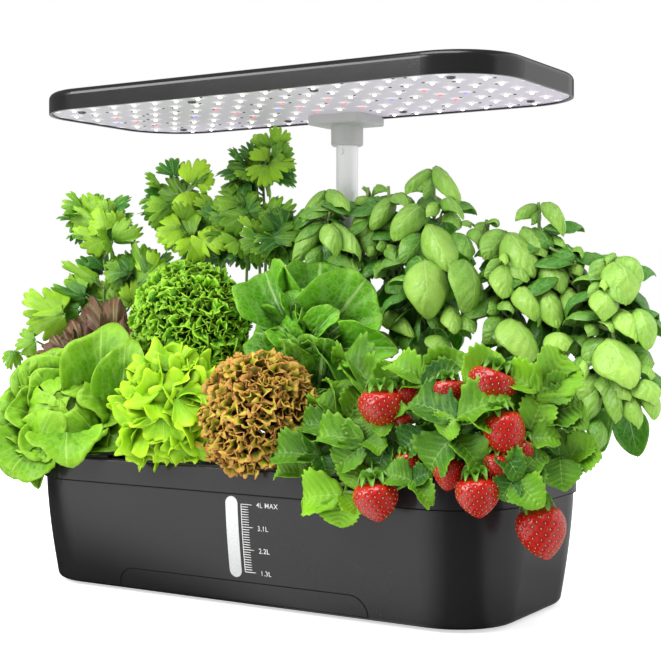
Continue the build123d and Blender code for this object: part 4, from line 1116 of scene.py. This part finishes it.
def stem_and_petioles(crown, stems, rows, thick, thin):
    """Adds the stems, and for each leaf a petiole from the nearest point of a stem below it."""
    samples = []
    for stem in stems:
        add_stalk(crown, stem, thick, thick * 0.6)
        points = [Vector(p) for p in stem]
        samples += [line_through(points, i / 24)[0] for i in range(25)]
    for root in sorted({row[0:3] for row in rows}):
        root = Vector(root)
        below = [p for p in samples if p.z < root.z - 4] or samples
        foot = min(below, key=lambda p: (p - root).length + 0.3 * abs(p.z - root.z + 14))
        bend = foot.lerp(root, 0.55) + Vector((0, 0, -0.1 * (root - foot).length))
        add_stalk(crown, (foot, bend, root), thin * 1.2, thin)


def tuft_rows(tufts, count, length, width, droop, seed):
    """Leaf rows for the far side and the inside of tufts, each centre x and y, low, high, reaches x and y."""
    chance = random.Random(seed)
    rows = []
    for x, y, low, high, reach_x, reach_y in tufts:
        for i in range(count):
            rise = 1 - 2 * (i + 0.5) / count
            level = math.sqrt(1 - rise * rise)
            out = Vector((math.cos(i * GOLDEN) * level, math.sin(i * GOLDEN) * level, rise))
            if out.dot(Vector(SEEN_SIDE)) > 0.05:
                continue
            radii = (reach_x, reach_y, (high - low) / 2)
            depth = chance.uniform(0.6, 0.92)
            middle = Vector((x, y, (low + high) / 2)) + Vector(o * r * depth for o, r in zip(out, radii))
            half = (out + Vector((0, 0, -droop))).normalized() * length * chance.uniform(0.4, 0.55)
            face = out + Vector((0, 0, 0.6))
            # These hidden leaves get low tints: painted shade inside the tuft
            rows.append((*(middle - half), *(middle + half), width, chance.uniform(-0.2, 0.3), tuple(face)))
    return tuple(rows)


def stalk_skin(name, low, high):
    """Smooth stalk whose colour runs from its foot to its tip."""
    material, tree, shader = new_material(name)
    feed(
        tree, shader, Base_Color=mix_colour(tree, tint_of(tree), low, high), Roughness=0.4,
        Subsurface_Weight=0.15, Subsurface_Radius=(0.5, 1.0, 0.2), Subsurface_Scale=0.002,
    )
    return material


CORIANDER_LEFT_LEAVES = (
    # root, tip, width, tint (painted light and shade)
    (-252, 58, 292, -254, 68, 310, 22, .3), (-238, 52, 291, -271, 60, 306, 17, .45),
    (-231, 54, 290, -233, 64, 302, 14, .4), (-236, 48, 280, -270, 54, 298, 19, .4),
    (-221, 42, 265, -256, 38, 276, 20, .55), (-219, 38, 274, -236, 44, 295, 19, .6),
    (-218, 46, 267, -228, 50, 295, 16, .2), (-216, 48, 275, -216, 56, 293, 16, .45),
    (-213, 40, 265, -183, 42, 274, 17, .35), (-214, 38, 264, -206, 24, 258, 22, .5),
    (-189, 34, 238, -214, 30, 251, 24, .1), (-175, 38, 237, -198, 44, 264, 20, .25),
    (-175, 42, 236, -173, 46, 258, 19, .75), (-194, 30, 236, -211, 24, 233, 19, .15),
    (-181, 34, 227, -154, 40, 246, 17, .3), (-217, 22, 231, -251, 18, 248, 12, .4),
    (-226, 20, 221, -248, 18, 235, 17, .45), (-224, 18, 218, -258, 12, 226, 19, .1),
    (-235, 0, 202, -274, -6, 222, 27, .6), (-229, -2, 204, -265, -10, 189, 22, .5),
    (-229, 16, 208, -254, 12, 206, 17, .15), (-219, 28, 216, -248, 30, 233, 19, .3),
    (-207, 30, 217, -221, 34, 233, 14, .45), (-203, 32, 215, -203, 36, 230, 14, .35),
    (-255, -8, 181, -277, -14, 177, 17, .35), (-277, -12, 173, -281, -16, 156, 12, .3),
    (-188, 34, 213, -184, 38, 234, 17, .7), (-191, 30, 208, -198, 32, 221, 13, .5),
)
CORIANDER_RIGHT_LEAVES = (
    # root, tip, width, tint (painted light and shade)
    (-153, 68, 312, -144, 78, 334, 24, .95), (-142, 64, 314, -127, 68, 315, 17, .8),
    (-156, 60, 296, -174, 68, 322, 20, .3), (-155, 52, 297, -195, 52, 299, 19, .3),
    (-155, 46, 293, -171, 38, 275, 24, .35), (-148, 54, 305, -138, 50, 289, 19, .85),
    (-141, 42, 275, -165, 34, 267, 23, .7), (-138, 40, 272, -136, 32, 249, 19, .75),
    (-142, 46, 280, -134, 50, 292, 22, .45), (-131, 44, 267, -153, 44, 285, 22, .35),
    (-123, 58, 288, -135, 66, 307, 19, .6), (-116, 52, 284, -134, 52, 283, 19, .1),
    (-121, 38, 269, -90, 32, 255, 22, .75), (-122, 36, 266, -118, 30, 245, 23, .8),
    (-113, 44, 274, -105, 38, 261, 17, .3), (-79, 78, 338, -98, 82, 351, 17, .5),
    (-77, 76, 339, -73, 82, 353, 19, .35), (-70, 74, 341, -61, 82, 351, 16, .45),
    (-75, 68, 327, -80, 72, 341, 17, .65), (-68, 70, 328, -55, 76, 338, 20, .2),
    (-69, 64, 325, -47, 66, 320, 20, .55), (-73, 62, 324, -66, 56, 306, 23, .6),
    (-82, 66, 323, -102, 72, 339, 19, .4), (-82, 62, 320, -115, 64, 323, 17, .2),
    (-84, 58, 317, -83, 52, 310, 17, .3), (-83, 52, 287, -76, 58, 303, 26, .1),
    (-85, 48, 290, -108, 52, 313, 24, .3), (-79, 46, 285, -65, 48, 287, 23, .15),
    (-77, 44, 282, -106, 42, 288, 22, .2), (-70, 42, 269, -66, 46, 279, 22, .5),
    (-66, 52, 273, -40, 62, 293, 19, .25), (-58, 48, 269, -48, 52, 286, 22, .15),
    (-54, 42, 264, -28, 42, 262, 23, .1), (-62, 38, 262, -77, 32, 255, 24, .2),
    (-53, 40, 257, -49, 34, 246, 22, .15), (-78, 34, 262, -85, 28, 251, 20, .4),
    (-109, 34, 258, -127, 32, 263, 20, .8), (-41, 46, 255, -29, 42, 248, 17, .1),
)
CORIANDER_LEFT_STEMS = (
    ((-164, 50, 94), (-209, 44, 190), (-245, 56, 283)), ((-160, 50, 94), (-175, 40, 190), (-178, 46, 250)),
    ((-156, 50, 94), (-209, 34, 173), (-213, 28, 228)), ((-164, 46, 94), (-238, 26, 148), (-245, 12, 190)),
    ((-160, 46, 94), (-193, 38, 182), (-203, 40, 236)),
)
CORIANDER_RIGHT_STEMS = (
    ((-84, 50, 94), (-133, 56, 215), (-154, 62, 303)), ((-80, 50, 94), (-75, 66, 223), (-82, 72, 325)),
    ((-76, 50, 94), (-70, 52, 215), (-74, 50, 285)), ((-84, 46, 94), (-50, 50, 207), (-53, 48, 262)),
    ((-80, 46, 94), (-102, 48, 215), (-110, 44, 270)), ((-76, 46, 94), (-81, 48, 207), (-74, 40, 255)),
)
CORIANDER_LEFT_TUFTS = (
    # centre x and y, low, high, reach x and y
    (-244, 58, 262, 312, 32, 30), (-190, 56, 212, 260, 30, 32), (-225, 49, 196, 262, 38, 25),
    (-248, 48, 150, 215, 28, 24),
)
CORIANDER_RIGHT_TUFTS = (
    # centre x and y, low, high, reach x and y
    (-80, 54, 235, 305, 38, 30), (-158, 58, 262, 336, 38, 30), (-80, 66, 295, 346, 36, 24),
    (-44, 46, 238, 290, 20, 22), (-122, 52, 232, 290, 34, 29),
)
CORIANDER_LEAF = {
    "across": 54, "along": 5, "fan": 0.15, "spread": 1.4, "cup": -0.12, "cut": 0.34, "cuts": 3,
    "scallop": 0.17, "scallops": 9, "waves": (1.1, 2.4), "swells": (0.12, 0.05), "powers": (1.5, 3),
}
coriander_skin = leaf_skin(
    "coriander_skin", Shade=(0.02, 0.15, 0.012), Sun=(0.46, 0.84, 0.02), Edge=(0.34, 0.70, 0.04),
    Rib=(0.4, 0.66, 0.15), Edge_Share=0.3, Edge_Start=0.85, Rib_Share=0.4, Rib_Width=0.05, Veins=4.5,
    Vein_Share=0.3, Fan=1.0, Net_Share=0.12, Net_Scale=420.0,
)
coriander_stalk = stalk_skin("coriander_stalk", (0.30, 0.42, 0.14), (0.16, 0.32, 0.05))
for name, rows, stems, tufts in (
    ("coriander_left", CORIANDER_LEFT_LEAVES, CORIANDER_LEFT_STEMS, CORIANDER_LEFT_TUFTS),
    ("coriander_right", CORIANDER_RIGHT_LEAVES, CORIANDER_RIGHT_STEMS, CORIANDER_RIGHT_TUFTS),
):
    crown = new_crown()
    rows = rows + tuft_rows(tufts, 24, 24, 20, -0.2, 57)
    add_leaves(crown, CORIANDER_LEAF, rows, SEEN_SIDE, 0.04, 0.3, 50, 0.95)
    stem_and_petioles(crown, stems, rows, 1.4, 0.6)
    finish_plant(
        name + "_leaves", crown, "deck", "leaf_coriander", coriander_skin, 0.3, name, coriander_stalk
    )

# ---- Basil ----
# Upright stems with smooth, domed leaves that droop from thin petioles. Plainer leaves fill the far side,
# and the stems rise from the planting deck.

BASIL_LEFT_LEAVES = (
    # root, tip, width, tint (painted light and shade)
    (-5, 46, 299, -19, 34, 272, 12, .55), (-3, 46, 299, 24, 34, 283, 13, .6),
    (-1, 38, 275, -23, 26, 241, 16, .6), (7, 30, 272, 22, 18, 246, 16, .65),
    (7, 36, 273, 42, 24, 246, 14, .55), (-1, 36, 256, -8, 24, 238, 14, .3),
    (2, 40, 249, 37, 28, 238, 14, .35), (-10, 54, 294, -10, 42, 278, 9, .35),
    (-6, 52, 292, 13, 40, 283, 9, .4), (21, 70, 296, 21, 58, 301, 9, .5), (24, 70, 295, 43, 58, 299, 9, .4),
    (28, 60, 292, 19, 48, 288, 10, .45), (28, 52, 283, 29, 40, 252, 16, .65),
    (45, 54, 288, 34, 42, 264, 17, .6), (32, 50, 277, 43, 38, 244, 17, .3),
    (37, 60, 284, 56, 48, 265, 13, .35), (41, 44, 255, 41, 32, 248, 9, .5),
    (50, 44, 255, 65, 32, 248, 9, .5), (29, 44, 245, 29, 32, 238, 13, .3),
    (49, 42, 243, 50, 30, 232, 9, .35), (53, 50, 291, 39, 38, 266, 14, .55),
    (51, 52, 293, 75, 40, 280, 12, .45), (53, 42, 256, 50, 30, 253, 9, .4),
    (55, 38, 253, 70, 26, 241, 10, .3), (49, 38, 238, 51, 26, 231, 9, .4),
    (54, 24, 207, 92, 12, 188, 14, .85), (55, 20, 191, 76, 8, 174, 19, .75),
    (73, 26, 189, 94, 14, 178, 14, .3), (56, 40, 230, 77, 28, 216, 14, .15),
    (34, 56, 263, 46, 44, 249, 16, .1), (87, 52, 313, 114, 40, 284, 13, .6),
    (84, 52, 311, 66, 40, 293, 12, .5), (80, 56, 308, 83, 44, 288, 10, .3),
    (87, 54, 306, 77, 42, 294, 9, .35), (95, 46, 286, 120, 34, 274, 9, .4),
    (94, 44, 285, 90, 32, 275, 9, .65), (82, 40, 284, 63, 28, 257, 19, .6),
    (81, 46, 282, 80, 34, 267, 13, .35), (92, 30, 269, 120, 18, 233, 23, .7),
    (85, 36, 262, 73, 24, 241, 17, .3), (97, 16, 243, 108, 4, 200, 29, .8),
    (108, 44, 263, 126, 32, 243, 17, .3), (123, 26, 243, 132, 14, 204, 27, .55),
    (102, 34, 237, 113, 22, 213, 22, .3), (117, 18, 210, 127, 6, 191, 14, .8),
    (107, 16, 189, 118, 4, 176, 19, .6), (120, 26, 202, 138, 14, 192, 14, .4),
    (94, 54, 277, 113, 42, 267, 12, .45), (81, 34, 229, 80, 22, 208, 19, .2),
    (103, 30, 202, 102, 18, 194, 13, .3),
)
BASIL_RIGHT_LEAVES = (
    # root, tip, width, tint (painted light and shade)
    (115, 54, 271, 115, 42, 269, 7, .5), (125, 58, 271, 125, 46, 261, 10, .5),
    (128, 58, 271, 142, 46, 269, 7, .4), (118, 54, 266, 128, 42, 252, 13, .5),
    (147, 48, 263, 133, 36, 243, 20, .5), (151, 42, 262, 176, 30, 230, 24, .65),
    (152, 36, 242, 141, 24, 230, 12, .45), (152, 36, 243, 175, 24, 228, 14, .5),
    (155, 28, 239, 160, 16, 215, 19, .75), (152, 32, 247, 159, 20, 239, 6, .9),
    (171, 56, 283, 194, 44, 259, 11, .6), (167, 56, 282, 155, 44, 271, 10, .5),
    (165, 60, 279, 167, 48, 268, 9, .35), (160, 48, 266, 183, 36, 244, 16, .5),
    (177, 56, 260, 194, 44, 251, 9, .4), (179, 44, 247, 197, 32, 219, 20, .65),
    (193, 54, 248, 208, 42, 245, 7, .4), (193, 54, 243, 206, 42, 231, 12, .75),
    (178, 36, 225, 197, 24, 194, 19, .7), (195, 44, 223, 206, 32, 195, 16, .6),
    (163, 30, 224, 184, 18, 200, 17, .8), (168, 34, 221, 186, 22, 197, 10, .5),
    (150, 28, 211, 148, 16, 205, 10, .45), (151, 28, 211, 167, 16, 206, 10, .5),
    (156, 26, 201, 145, 14, 184, 17, .4), (162, 18, 201, 185, 6, 171, 29, .8),
    (155, 26, 198, 158, 14, 182, 16, .35), (192, 24, 191, 208, 12, 180, 19, .85),
    (134, 40, 221, 137, 28, 206, 14, .25), (183, 44, 215, 183, 32, 202, 14, .2),
    (124, 42, 213, 124, 30, 197, 14, .2), (228, 48, 246, 227, 36, 238, 7, .5),
    (232, 46, 243, 252, 34, 225, 16, .55), (226, 44, 241, 218, 32, 223, 16, .45),
    (232, 38, 240, 246, 26, 211, 24, .65), (226, 32, 224, 219, 20, 216, 10, .45),
    (227, 32, 224, 247, 20, 211, 13, .5), (230, 24, 221, 234, 12, 200, 18, .75),
    (228, 28, 229, 233, 16, 221, 6, .9), (238, 30, 208, 255, 18, 186, 17, .8),
    (249, 34, 208, 262, 22, 181, 17, .65), (223, 26, 198, 222, 14, 190, 10, .5),
    (226, 26, 198, 240, 14, 193, 10, .5), (230, 24, 188, 220, 12, 172, 17, .4),
    (235, 16, 188, 258, 4, 157, 29, .8), (227, 26, 185, 230, 14, 168, 14, .35),
    (217, 18, 174, 224, 6, 163, 7, .8), (227, 20, 163, 218, 8, 148, 19, .6),
    (231, 20, 163, 238, 8, 148, 13, .5), (239, 20, 162, 254, 8, 148, 14, .6),
    (253, 30, 171, 266, 18, 163, 12, .5), (253, 24, 161, 270, 12, 146, 19, .65),
    (215, 34, 190, 216, 22, 180, 13, .25), (250, 38, 178, 260, 26, 168, 13, .3),
    (215, 40, 209, 215, 28, 198, 14, .25), (207, 36, 190, 208, 24, 176, 14, .2),
    (229, 18, 162, 226, 8, 134, 14, .5), (238, 18, 162, 246, 6, 132, 13, .55),
    (246, 20, 160, 260, 10, 129, 14, .6), (258, 24, 158, 268, 18, 135, 13, .6),
    (214, 20, 147, 213, 10, 120, 14, .4), (196, 28, 159, 198, 18, 126, 16, .3),
    (230, 16, 134, 231, 6, 113, 13, .35), (249, 22, 148, 267, 20, 151, 9, .5),
    (171, 34, 179, 174, 26, 145, 16, .25),
)
BASIL_LEFT_STEMS = (
    ((76, 50, 94), (5, 48, 199), (-4, 46, 299)), ((80, 50, 94), (28, 52, 199), (26, 58, 301)),
    ((84, 50, 94), (56, 52, 200), (45, 56, 301)), ((76, 46, 94), (85, 52, 207), (85, 54, 313)),
)
BASIL_RIGHT_STEMS = (
    ((156, 50, 94), (139, 54, 200), (127, 56, 273)), ((160, 50, 94), (153, 52, 193), (146, 48, 264)),
    ((164, 50, 94), (170, 54, 200), (168, 56, 284)), ((156, 46, 94), (198, 50, 193), (198, 50, 247)),
    ((160, 46, 94), (218, 48, 187), (230, 48, 244)), ((164, 46, 94), (229, 40, 146), (234, 28, 194)),
)
BASIL_LEFT_TUFTS = (
    # centre x and y, low, high, reach x and y
    (91, 50, 172, 312, 35, 34), (2, 40, 232, 300, 24, 15), (38, 52, 232, 302, 22, 26),
    (60, 52, 170, 296, 30, 28), (98, 18, 168, 250, 27, 22),
)
BASIL_RIGHT_TUFTS = (
    # centre x and y, low, high, reach x and y
    (158, 44, 140, 268, 32, 32), (142, 52, 190, 272, 14, 26), (176, 44, 168, 284, 26, 34),
    (196, 44, 176, 262, 24, 32), (230, 44, 172, 248, 28, 28), (236, 30, 112, 228, 36, 30),
)
BASIL_LEAF = {
    "across": 16, "along": 24, "belly": 0.42, "blunt": 0.68, "foot": 0.06, "cup": -0.26, "waves": (2.5,),
    "swells": (0.025,), "powers": (3,), "quilt": 0.02, "ridges": (5, 1.7, 0.028),
}
basil_skin = leaf_skin(
    "basil_skin", 0.26, 1.0, 0.12, 0.5, Shade=(0.06, 0.26, 0.014), Sun=(0.54, 0.94, 0.13),
    Edge=(0.52, 0.90, 0.13), Rib=(0.56, 0.86, 0.28), Edge_Share=0.3, Edge_Start=0.9, Rib_Share=0.7,
    Rib_Width=0.05, Veins=5.0, Vein_Lean=1.7, Vein_Share=0.22, Net_Share=0.14, Net_Scale=330.0,
)
basil_stalk = stalk_skin("basil_stalk", (0.26, 0.34, 0.14), (0.30, 0.46, 0.12))
FAR_BASIL_LEAF = {**BASIL_LEAF, "across": 8, "along": 12}
for name, rows, stems, tufts in (
    ("basil_left", BASIL_LEFT_LEAVES, BASIL_LEFT_STEMS, BASIL_LEFT_TUFTS),
    ("basil_right", BASIL_RIGHT_LEAVES, BASIL_RIGHT_STEMS, BASIL_RIGHT_TUFTS),
):
    crown = new_crown()
    far_rows = tuft_rows(tufts, 26, 36, 22, 0.7, 63)
    add_leaves(crown, BASIL_LEAF, rows, (0.68, -0.6, 0.45), 0.2, 0.25, 61)
    add_leaves(crown, FAR_BASIL_LEAF, far_rows, SEEN_SIDE, 0.16, 0.25, 62)
    stem_and_petioles(crown, stems, rows + far_rows, 1.7, 0.7)
    finish_plant(name + "_leaves", crown, "deck", "leaf_basil", basil_skin, 0.4, name, basil_stalk)

# ---- Strawberries ----
# Toothed, pleated leaflets on arching stalks. The berries hang on thin stalks at the front, with a calyx
# and with seeds in dimples.

STRAWBERRY_LEFT_LEAVES = (
    # root, tip, width, tint (painted light and shade)
    (102, -103, 88, 68, -106, 83, 24, .95), (102, -103, 88, 101, -107, 68, 22, .9),
    (102, -103, 88, 114, -107, 78, 17, .85), (114, -96, 122, 73, -98, 125, 19, .5),
    (116, -97, 121, 96, -104, 105, 17, .4), (115, -97, 123, 131, -102, 118, 14, .45),
    (112, -94, 123, 108, -90, 139, 19, .4), (81, -96, 111, 38, -92, 111, 19, .35),
    (82, -98, 110, 64, -100, 101, 11, .35), (78, -94, 111, 62, -86, 131, 22, .3),
    (67, -96, 99, 42, -98, 98, 12, .8), (81, -97, 111, 90, -102, 98, 14, .2),
    (113, -98, 109, 107, -104, 93, 19, .6), (132, -92, 139, 114, -94, 142, 13, .55),
    (131, -92, 137, 122, -97, 127, 11, .55), (133, -92, 139, 143, -92, 147, 10, .5),
    (151, -100, 100, 132, -104, 104, 17, .4), (151, -101, 100, 167, -106, 86, 12, .5),
    (151, -99, 100, 165, -99, 106, 12, .15), (128, -90, 122, 122, -95, 102, 16, .15),
    (155, -88, 129, 138, -92, 117, 19, .1), (180, -96, 140, 144, -94, 149, 24, .2),
    (180, -96, 140, 213, -88, 154, 22, .55), (181, -98, 140, 173, -104, 130, 19, .7),
    (182, -98, 140, 207, -100, 135, 19, .75), (179, -98, 129, 164, -104, 106, 26, .3),
    (179, -98, 128, 201, -102, 109, 19, .4), (147, -78, 159, 172, -64, 179, 19, .6),
    (147, -78, 159, 117, -74, 174, 17, .7), (148, -80, 159, 131, -84, 158, 12, .6),
    (148, -80, 159, 173, -76, 171, 13, .1), (89, -80, 134, 55, -70, 146, 19, .5),
    (89, -80, 134, 69, -66, 163, 19, .6), (93, -80, 135, 99, -70, 158, 17, .5),
    (88, -84, 128, 54, -80, 130, 16, .3), (113, -74, 148, 80, -58, 170, 20, .6),
    (113, -74, 148, 116, -60, 174, 19, .7), (108, -72, 151, 63, -50, 180, 19, .45),
    (133, -84, 124, 118, -90, 117, 16, .2), (140, -70, 142, 124, -60, 164, 17, .3),
)
STRAWBERRY_RIGHT_LEAVES = (
    # root, tip, width, tint (painted light and shade)
    (217, -90, 104, 228, -82, 119, 23, .35), (218, -92, 104, 237, -98, 90, 19, .5),
    (218, -93, 105, 212, -100, 92, 16, .15), (236, -66, 116, 241, -74, 97, 20, .4),
    (234, -64, 117, 227, -54, 135, 22, .35), (238, -58, 115, 257, -54, 123, 22, .65),
    (239, -60, 114, 247, -50, 129, 19, .55), (221, -70, 152, 231, -44, 181, 26, .8),
    (224, -72, 156, 195, -70, 171, 17, .85), (224, -66, 155, 240, -54, 162, 17, .45),
    (223, -64, 140, 247, -54, 150, 23, .4), (223, -64, 140, 218, -54, 153, 17, .45),
    (224, -66, 139, 244, -62, 136, 17, .3), (180, -84, 161, 198, -66, 180, 19, .9),
    (217, -74, 140, 207, -64, 158, 19, .6), (213, -70, 147, 194, -66, 159, 16, .3),
    (219, -74, 133, 225, -64, 155, 19, .6), (221, -78, 128, 239, -72, 128, 17, .5),
    (217, -84, 109, 234, -80, 119, 17, .3), (234, -62, 139, 251, -54, 139, 17, .5),
    (208, -92, 110, 194, -92, 118, 14, .1), (220, -60, 145, 208, -48, 166, 20, .5),
    (184, -86, 126, 177, -92, 114, 16, .15), (223, -52, 163, 235, -40, 176, 19, .6),
    (206, -66, 154, 190, -54, 172, 17, .35), (207, -90, 122, 223, -96, 105, 14, .15),
)
BERRIES_LEFT = (
    # centre, half width, height, lean
    (128, -106, 88, 14.8, 30.2, 8), (123, -90, 145, 15.8, 30.2, 0), (111, -90, 109, 6.5, 14.4, 0),
    (143, -92, 111, 7.9, 17.3, 10), (175, -96, 107, 10.8, 24.5, -10), (134, -78, 152, 10.8, 21.6, 20),
    (167, -82, 157, 11.5, 18.7, 0), (137, -86, 136, 5.8, 13.0, 0),
)
BERRIES_RIGHT = (
    # centre, half width, height, lean
    (197, -101, 95, 14.0, 29.5, 5), (226, -71, 72, 15.8, 38.9, 12), (209, -88, 132, 13.0, 37.4, 15),
    (196, -80, 161, 15.8, 27.4, -20), (206, -92, 112, 9.4, 21.6, 0), (217, -80, 120, 9.4, 21.6, 0),
)
STRAWBERRY_LEFT_STEMS = (
    ((86, -50, 94), (96, -70, 118), (112, -92, 124)), ((84, -52, 94), (80, -72, 112), (78, -92, 110)),
    ((90, -50, 94), (104, -60, 134), (110, -72, 150)), ((92, -50, 94), (140, -56, 130), (148, -76, 158)),
    ((94, -52, 94), (160, -66, 124), (180, -94, 139)), ((90, -54, 94), (130, -78, 106), (150, -98, 100)),
    ((88, -54, 94), (98, -84, 104), (102, -101, 90)),
)
STRAWBERRY_RIGHT_STEMS = (
    ((170, -50, 94), (196, -60, 128), (222, -68, 152)), ((174, -50, 94), (214, -48, 104), (236, -62, 116)),
    ((168, -52, 94), (196, -76, 108), (218, -88, 104)), ((164, -50, 94), (176, -66, 134), (181, -82, 160)),
    ((172, -52, 94), (206, -56, 118), (222, -64, 139)),
)
STRAWBERRY_LEAF = {
    "across": 12, "along": 42, "belly": 0.52, "blunt": 0.42, "foot": 0.05, "cup": 0.35, "lobe": 0.12,
    "lobes": 8, "waves": (2.5, 5), "swells": (0.06, 0.03), "powers": (2, 3), "ridges": (7, 1.7, 0.05),
}
STRAWBERRY_LEFT_TUFTS = ((112, -62, 98, 152, 36, 24),)
STRAWBERRY_RIGHT_TUFTS = ((168, -66, 98, 146, 30, 22), (208, -62, 98, 150, 28, 22))
strawberry_skin = leaf_skin(
    "strawberry_skin", Shade=(0.010, 0.10, 0.008), Sun=(0.25, 0.58, 0.012), Edge=(0.38, 0.66, 0.06),
    Rib=(0.40, 0.66, 0.12), Edge_Share=0.3, Edge_Start=0.85, Rib_Share=0.5, Rib_Width=0.04, Veins=7.0,
    Vein_Lean=1.7, Vein_Share=0.18, Net_Share=0.08, Net_Scale=360.0,
)
strawberry_stalk = stalk_skin("strawberry_stalk", (0.22, 0.34, 0.06), (0.16, 0.42, 0.03))

# Skin of a ripe berry: bright red, paler by the stalk, with painted shade in the seeds' dimples, and
# wet-looking
berry_skin, tree, shader = new_material("berry_skin")
ripeness_and_pit_shade = tint_of(tree)
blush = math_node(tree, "MULTIPLY_ADD", noise_value(tree, 120), 0.5, ripeness_and_pit_shade)
colour = mix_colour(tree, blush, (0.72, 0.10, 0.02), (0.56, 0.006, 0.004))
pit_shade = math_node(tree, "MINIMUM", 1.0, math_node(tree, "SUBTRACT", ripeness_and_pit_shade, 1.0))
pit_shade = math_node(tree, "MAXIMUM", 0.0, pit_shade)
feed(
    tree, shader, Base_Color=mix_colour(tree, pit_shade, colour, (0.16, 0.002, 0.002)), Roughness=0.28,
    Coat_Weight=0.5, Coat_Roughness=0.12, Subsurface_Weight=0.15, Subsurface_Radius=(1.0, 0.2, 0.1),
    Subsurface_Scale=0.004,
)
seed_skin, tree, shader = new_material("berry_seed")
feed(tree, shader, Base_Color=(0.72, 0.50, 0.12), Roughness=0.35)

SEPAL = {"across": 4, "along": 8, "belly": 0.34, "blunt": 0.8, "foot": 0.7, "cup": 0.4}
SEEDS_OF_A_BERRY = 150


def berry_point(angle, fall, half, height):
    """Point of a berry's skin round its axis, fall running from 0 at the stalk to 1 at the tip."""
    girth = math.sin(math.pi * fall**0.78) ** 0.64 if 0 < fall < 1 else 0.0
    shoulder = 0.12 * height * math.exp(-((fall / 0.12) ** 2))
    radius = half * girth
    return Vector((radius * math.cos(angle), radius * math.sin(angle), -height * fall**0.92 - shoulder))


def add_berry(cluster, row, stem_foot, seed):
    """Adds a berry with seeds in dimples, calyx and stalk; a row is centre, half width, height, lean."""
    chance = random.Random(seed)
    x, y, z, half, height, lean = row
    spin = Matrix.Rotation(chance.uniform(0, 6), 3, "Z")
    turn = Matrix.Rotation(math.radians(lean), 3, Vector(SEEN_SIDE)) @ spin
    top = Vector((x, y, z)) + turn @ Vector((0, 0, height / 2))
    pits = []
    for i in range(SEEDS_OF_A_BERRY):
        fall = 0.1 + 0.84 * (i + 0.5) / SEEDS_OF_A_BERRY
        pits.append((i * GOLDEN, fall, berry_point(i * GOLDEN, fall, half, height)))
    nearest = kdtree.KDTree(len(pits))
    for i, (_, _, place) in enumerate(pits):
        nearest.insert(place, i)
    nearest.balance()
    pit = half * 0.1
    fruit = new_crown()
    tint_layer = fruit.verts.layers.float["tint"]
    bmesh.ops.create_uvsphere(fruit, u_segments=72, v_segments=46, radius=1)
    for v in fruit.verts:
        fall = math.acos(max(-1, min(1, v.co.z))) / math.pi
        angle = math.atan2(v.co.y, v.co.x)
        place = berry_point(angle, fall, half, height)
        _, _, away = nearest.find(place)
        inward = Vector((-math.cos(angle), -math.sin(angle), 0.2)).normalized()
        dip = math.exp(-((away / pit) ** 2)) * (0 if fall < 0.04 else 1)
        place += inward * pit * 0.6 * dip
        v.co = (top + turn @ place) * MM
        # The tint holds ripeness, paler by the stalk, and above 1 the painted shade in a seed's dimple
        v[tint_layer] = min(1.0, 0.1 + fall * 3) + dip
    join_part(cluster, fruit)
    seeds = new_crown()
    for angle, fall, place in pits:
        ahead = berry_point(angle, min(0.99, fall + 0.02), half, height) - place
        out = Vector((math.cos(angle), math.sin(angle), 0))
        normal = ahead.cross(Vector((-math.sin(angle), math.cos(angle), 0))).normalized()
        normal = normal if normal.dot(out) >= 0 else -normal
        frame_turn = normal.to_track_quat("X", "Z").to_matrix()
        for v in bmesh.ops.create_icosphere(seeds, subdivisions=1, radius=1)["verts"]:
            grain = Vector((v.co.x * 0.35, v.co.y * 0.45, v.co.z * 0.8)) * half * 0.055
            v.co = (top + turn @ (place - normal * pit * 0.3 + frame_turn @ grain)) * MM
    join_part(cluster, seeds, 2)
    for i in range(9):
        angle = i * 2 * math.pi / 9
        out = Vector((math.cos(angle), math.sin(angle), chance.uniform(-0.45, 0.1))).normalized()
        root = top + turn @ Vector((0, 0, -0.08 * height))
        tip = root + turn @ (out * half * 0.85)
        add_leaf(cluster, SEPAL, root, tip, half * 0.45, turn @ Vector((0, 0, 1)), 0.12, 0.5, 0.8, i, 1)
    bend = (top + Vector(stem_foot)) / 2 + Vector((0, 0, 14))
    add_stalk(cluster, (stem_foot, bend, top + Vector((0, 0, -1))), 0.9, 0.7)


LEFT_HEART, RIGHT_HEART = (96, -60, 104), (176, -60, 104)
for side, rows, tufts, stems, berries, heart in (
    (
        "left", STRAWBERRY_LEFT_LEAVES, STRAWBERRY_LEFT_TUFTS, STRAWBERRY_LEFT_STEMS, BERRIES_LEFT,
        LEFT_HEART,
    ),
    (
        "right", STRAWBERRY_RIGHT_LEAVES, STRAWBERRY_RIGHT_TUFTS, STRAWBERRY_RIGHT_STEMS, BERRIES_RIGHT,
        RIGHT_HEART,
    ),
):
    crown = new_crown()
    rows = rows + tuft_rows(tufts, 34, 28, 22, 0.2, 73)
    add_leaves(crown, STRAWBERRY_LEAF, rows, (0.5, -0.6, 0.6), 0.06, 0.3, 71, 1.35)
    stem_and_petioles(crown, stems, rows, 1.2, 0.9)
    plant = "strawberry_" + side
    finish_plant(
        plant + "_leaves", crown, "pod_" + plant, "leaf_strawberry", strawberry_skin, 0.4, plant,
        strawberry_stalk,
    )
    cluster = new_crown()
    for i, row in enumerate(berries):
        add_berry(cluster, row, heart, i + 80)
    piece = new_piece(
        side + "_berries", cluster, "pod_" + plant, "berry_red", berry_skin, strawberry_stalk, seed_skin
    )
    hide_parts("berries_" + side)
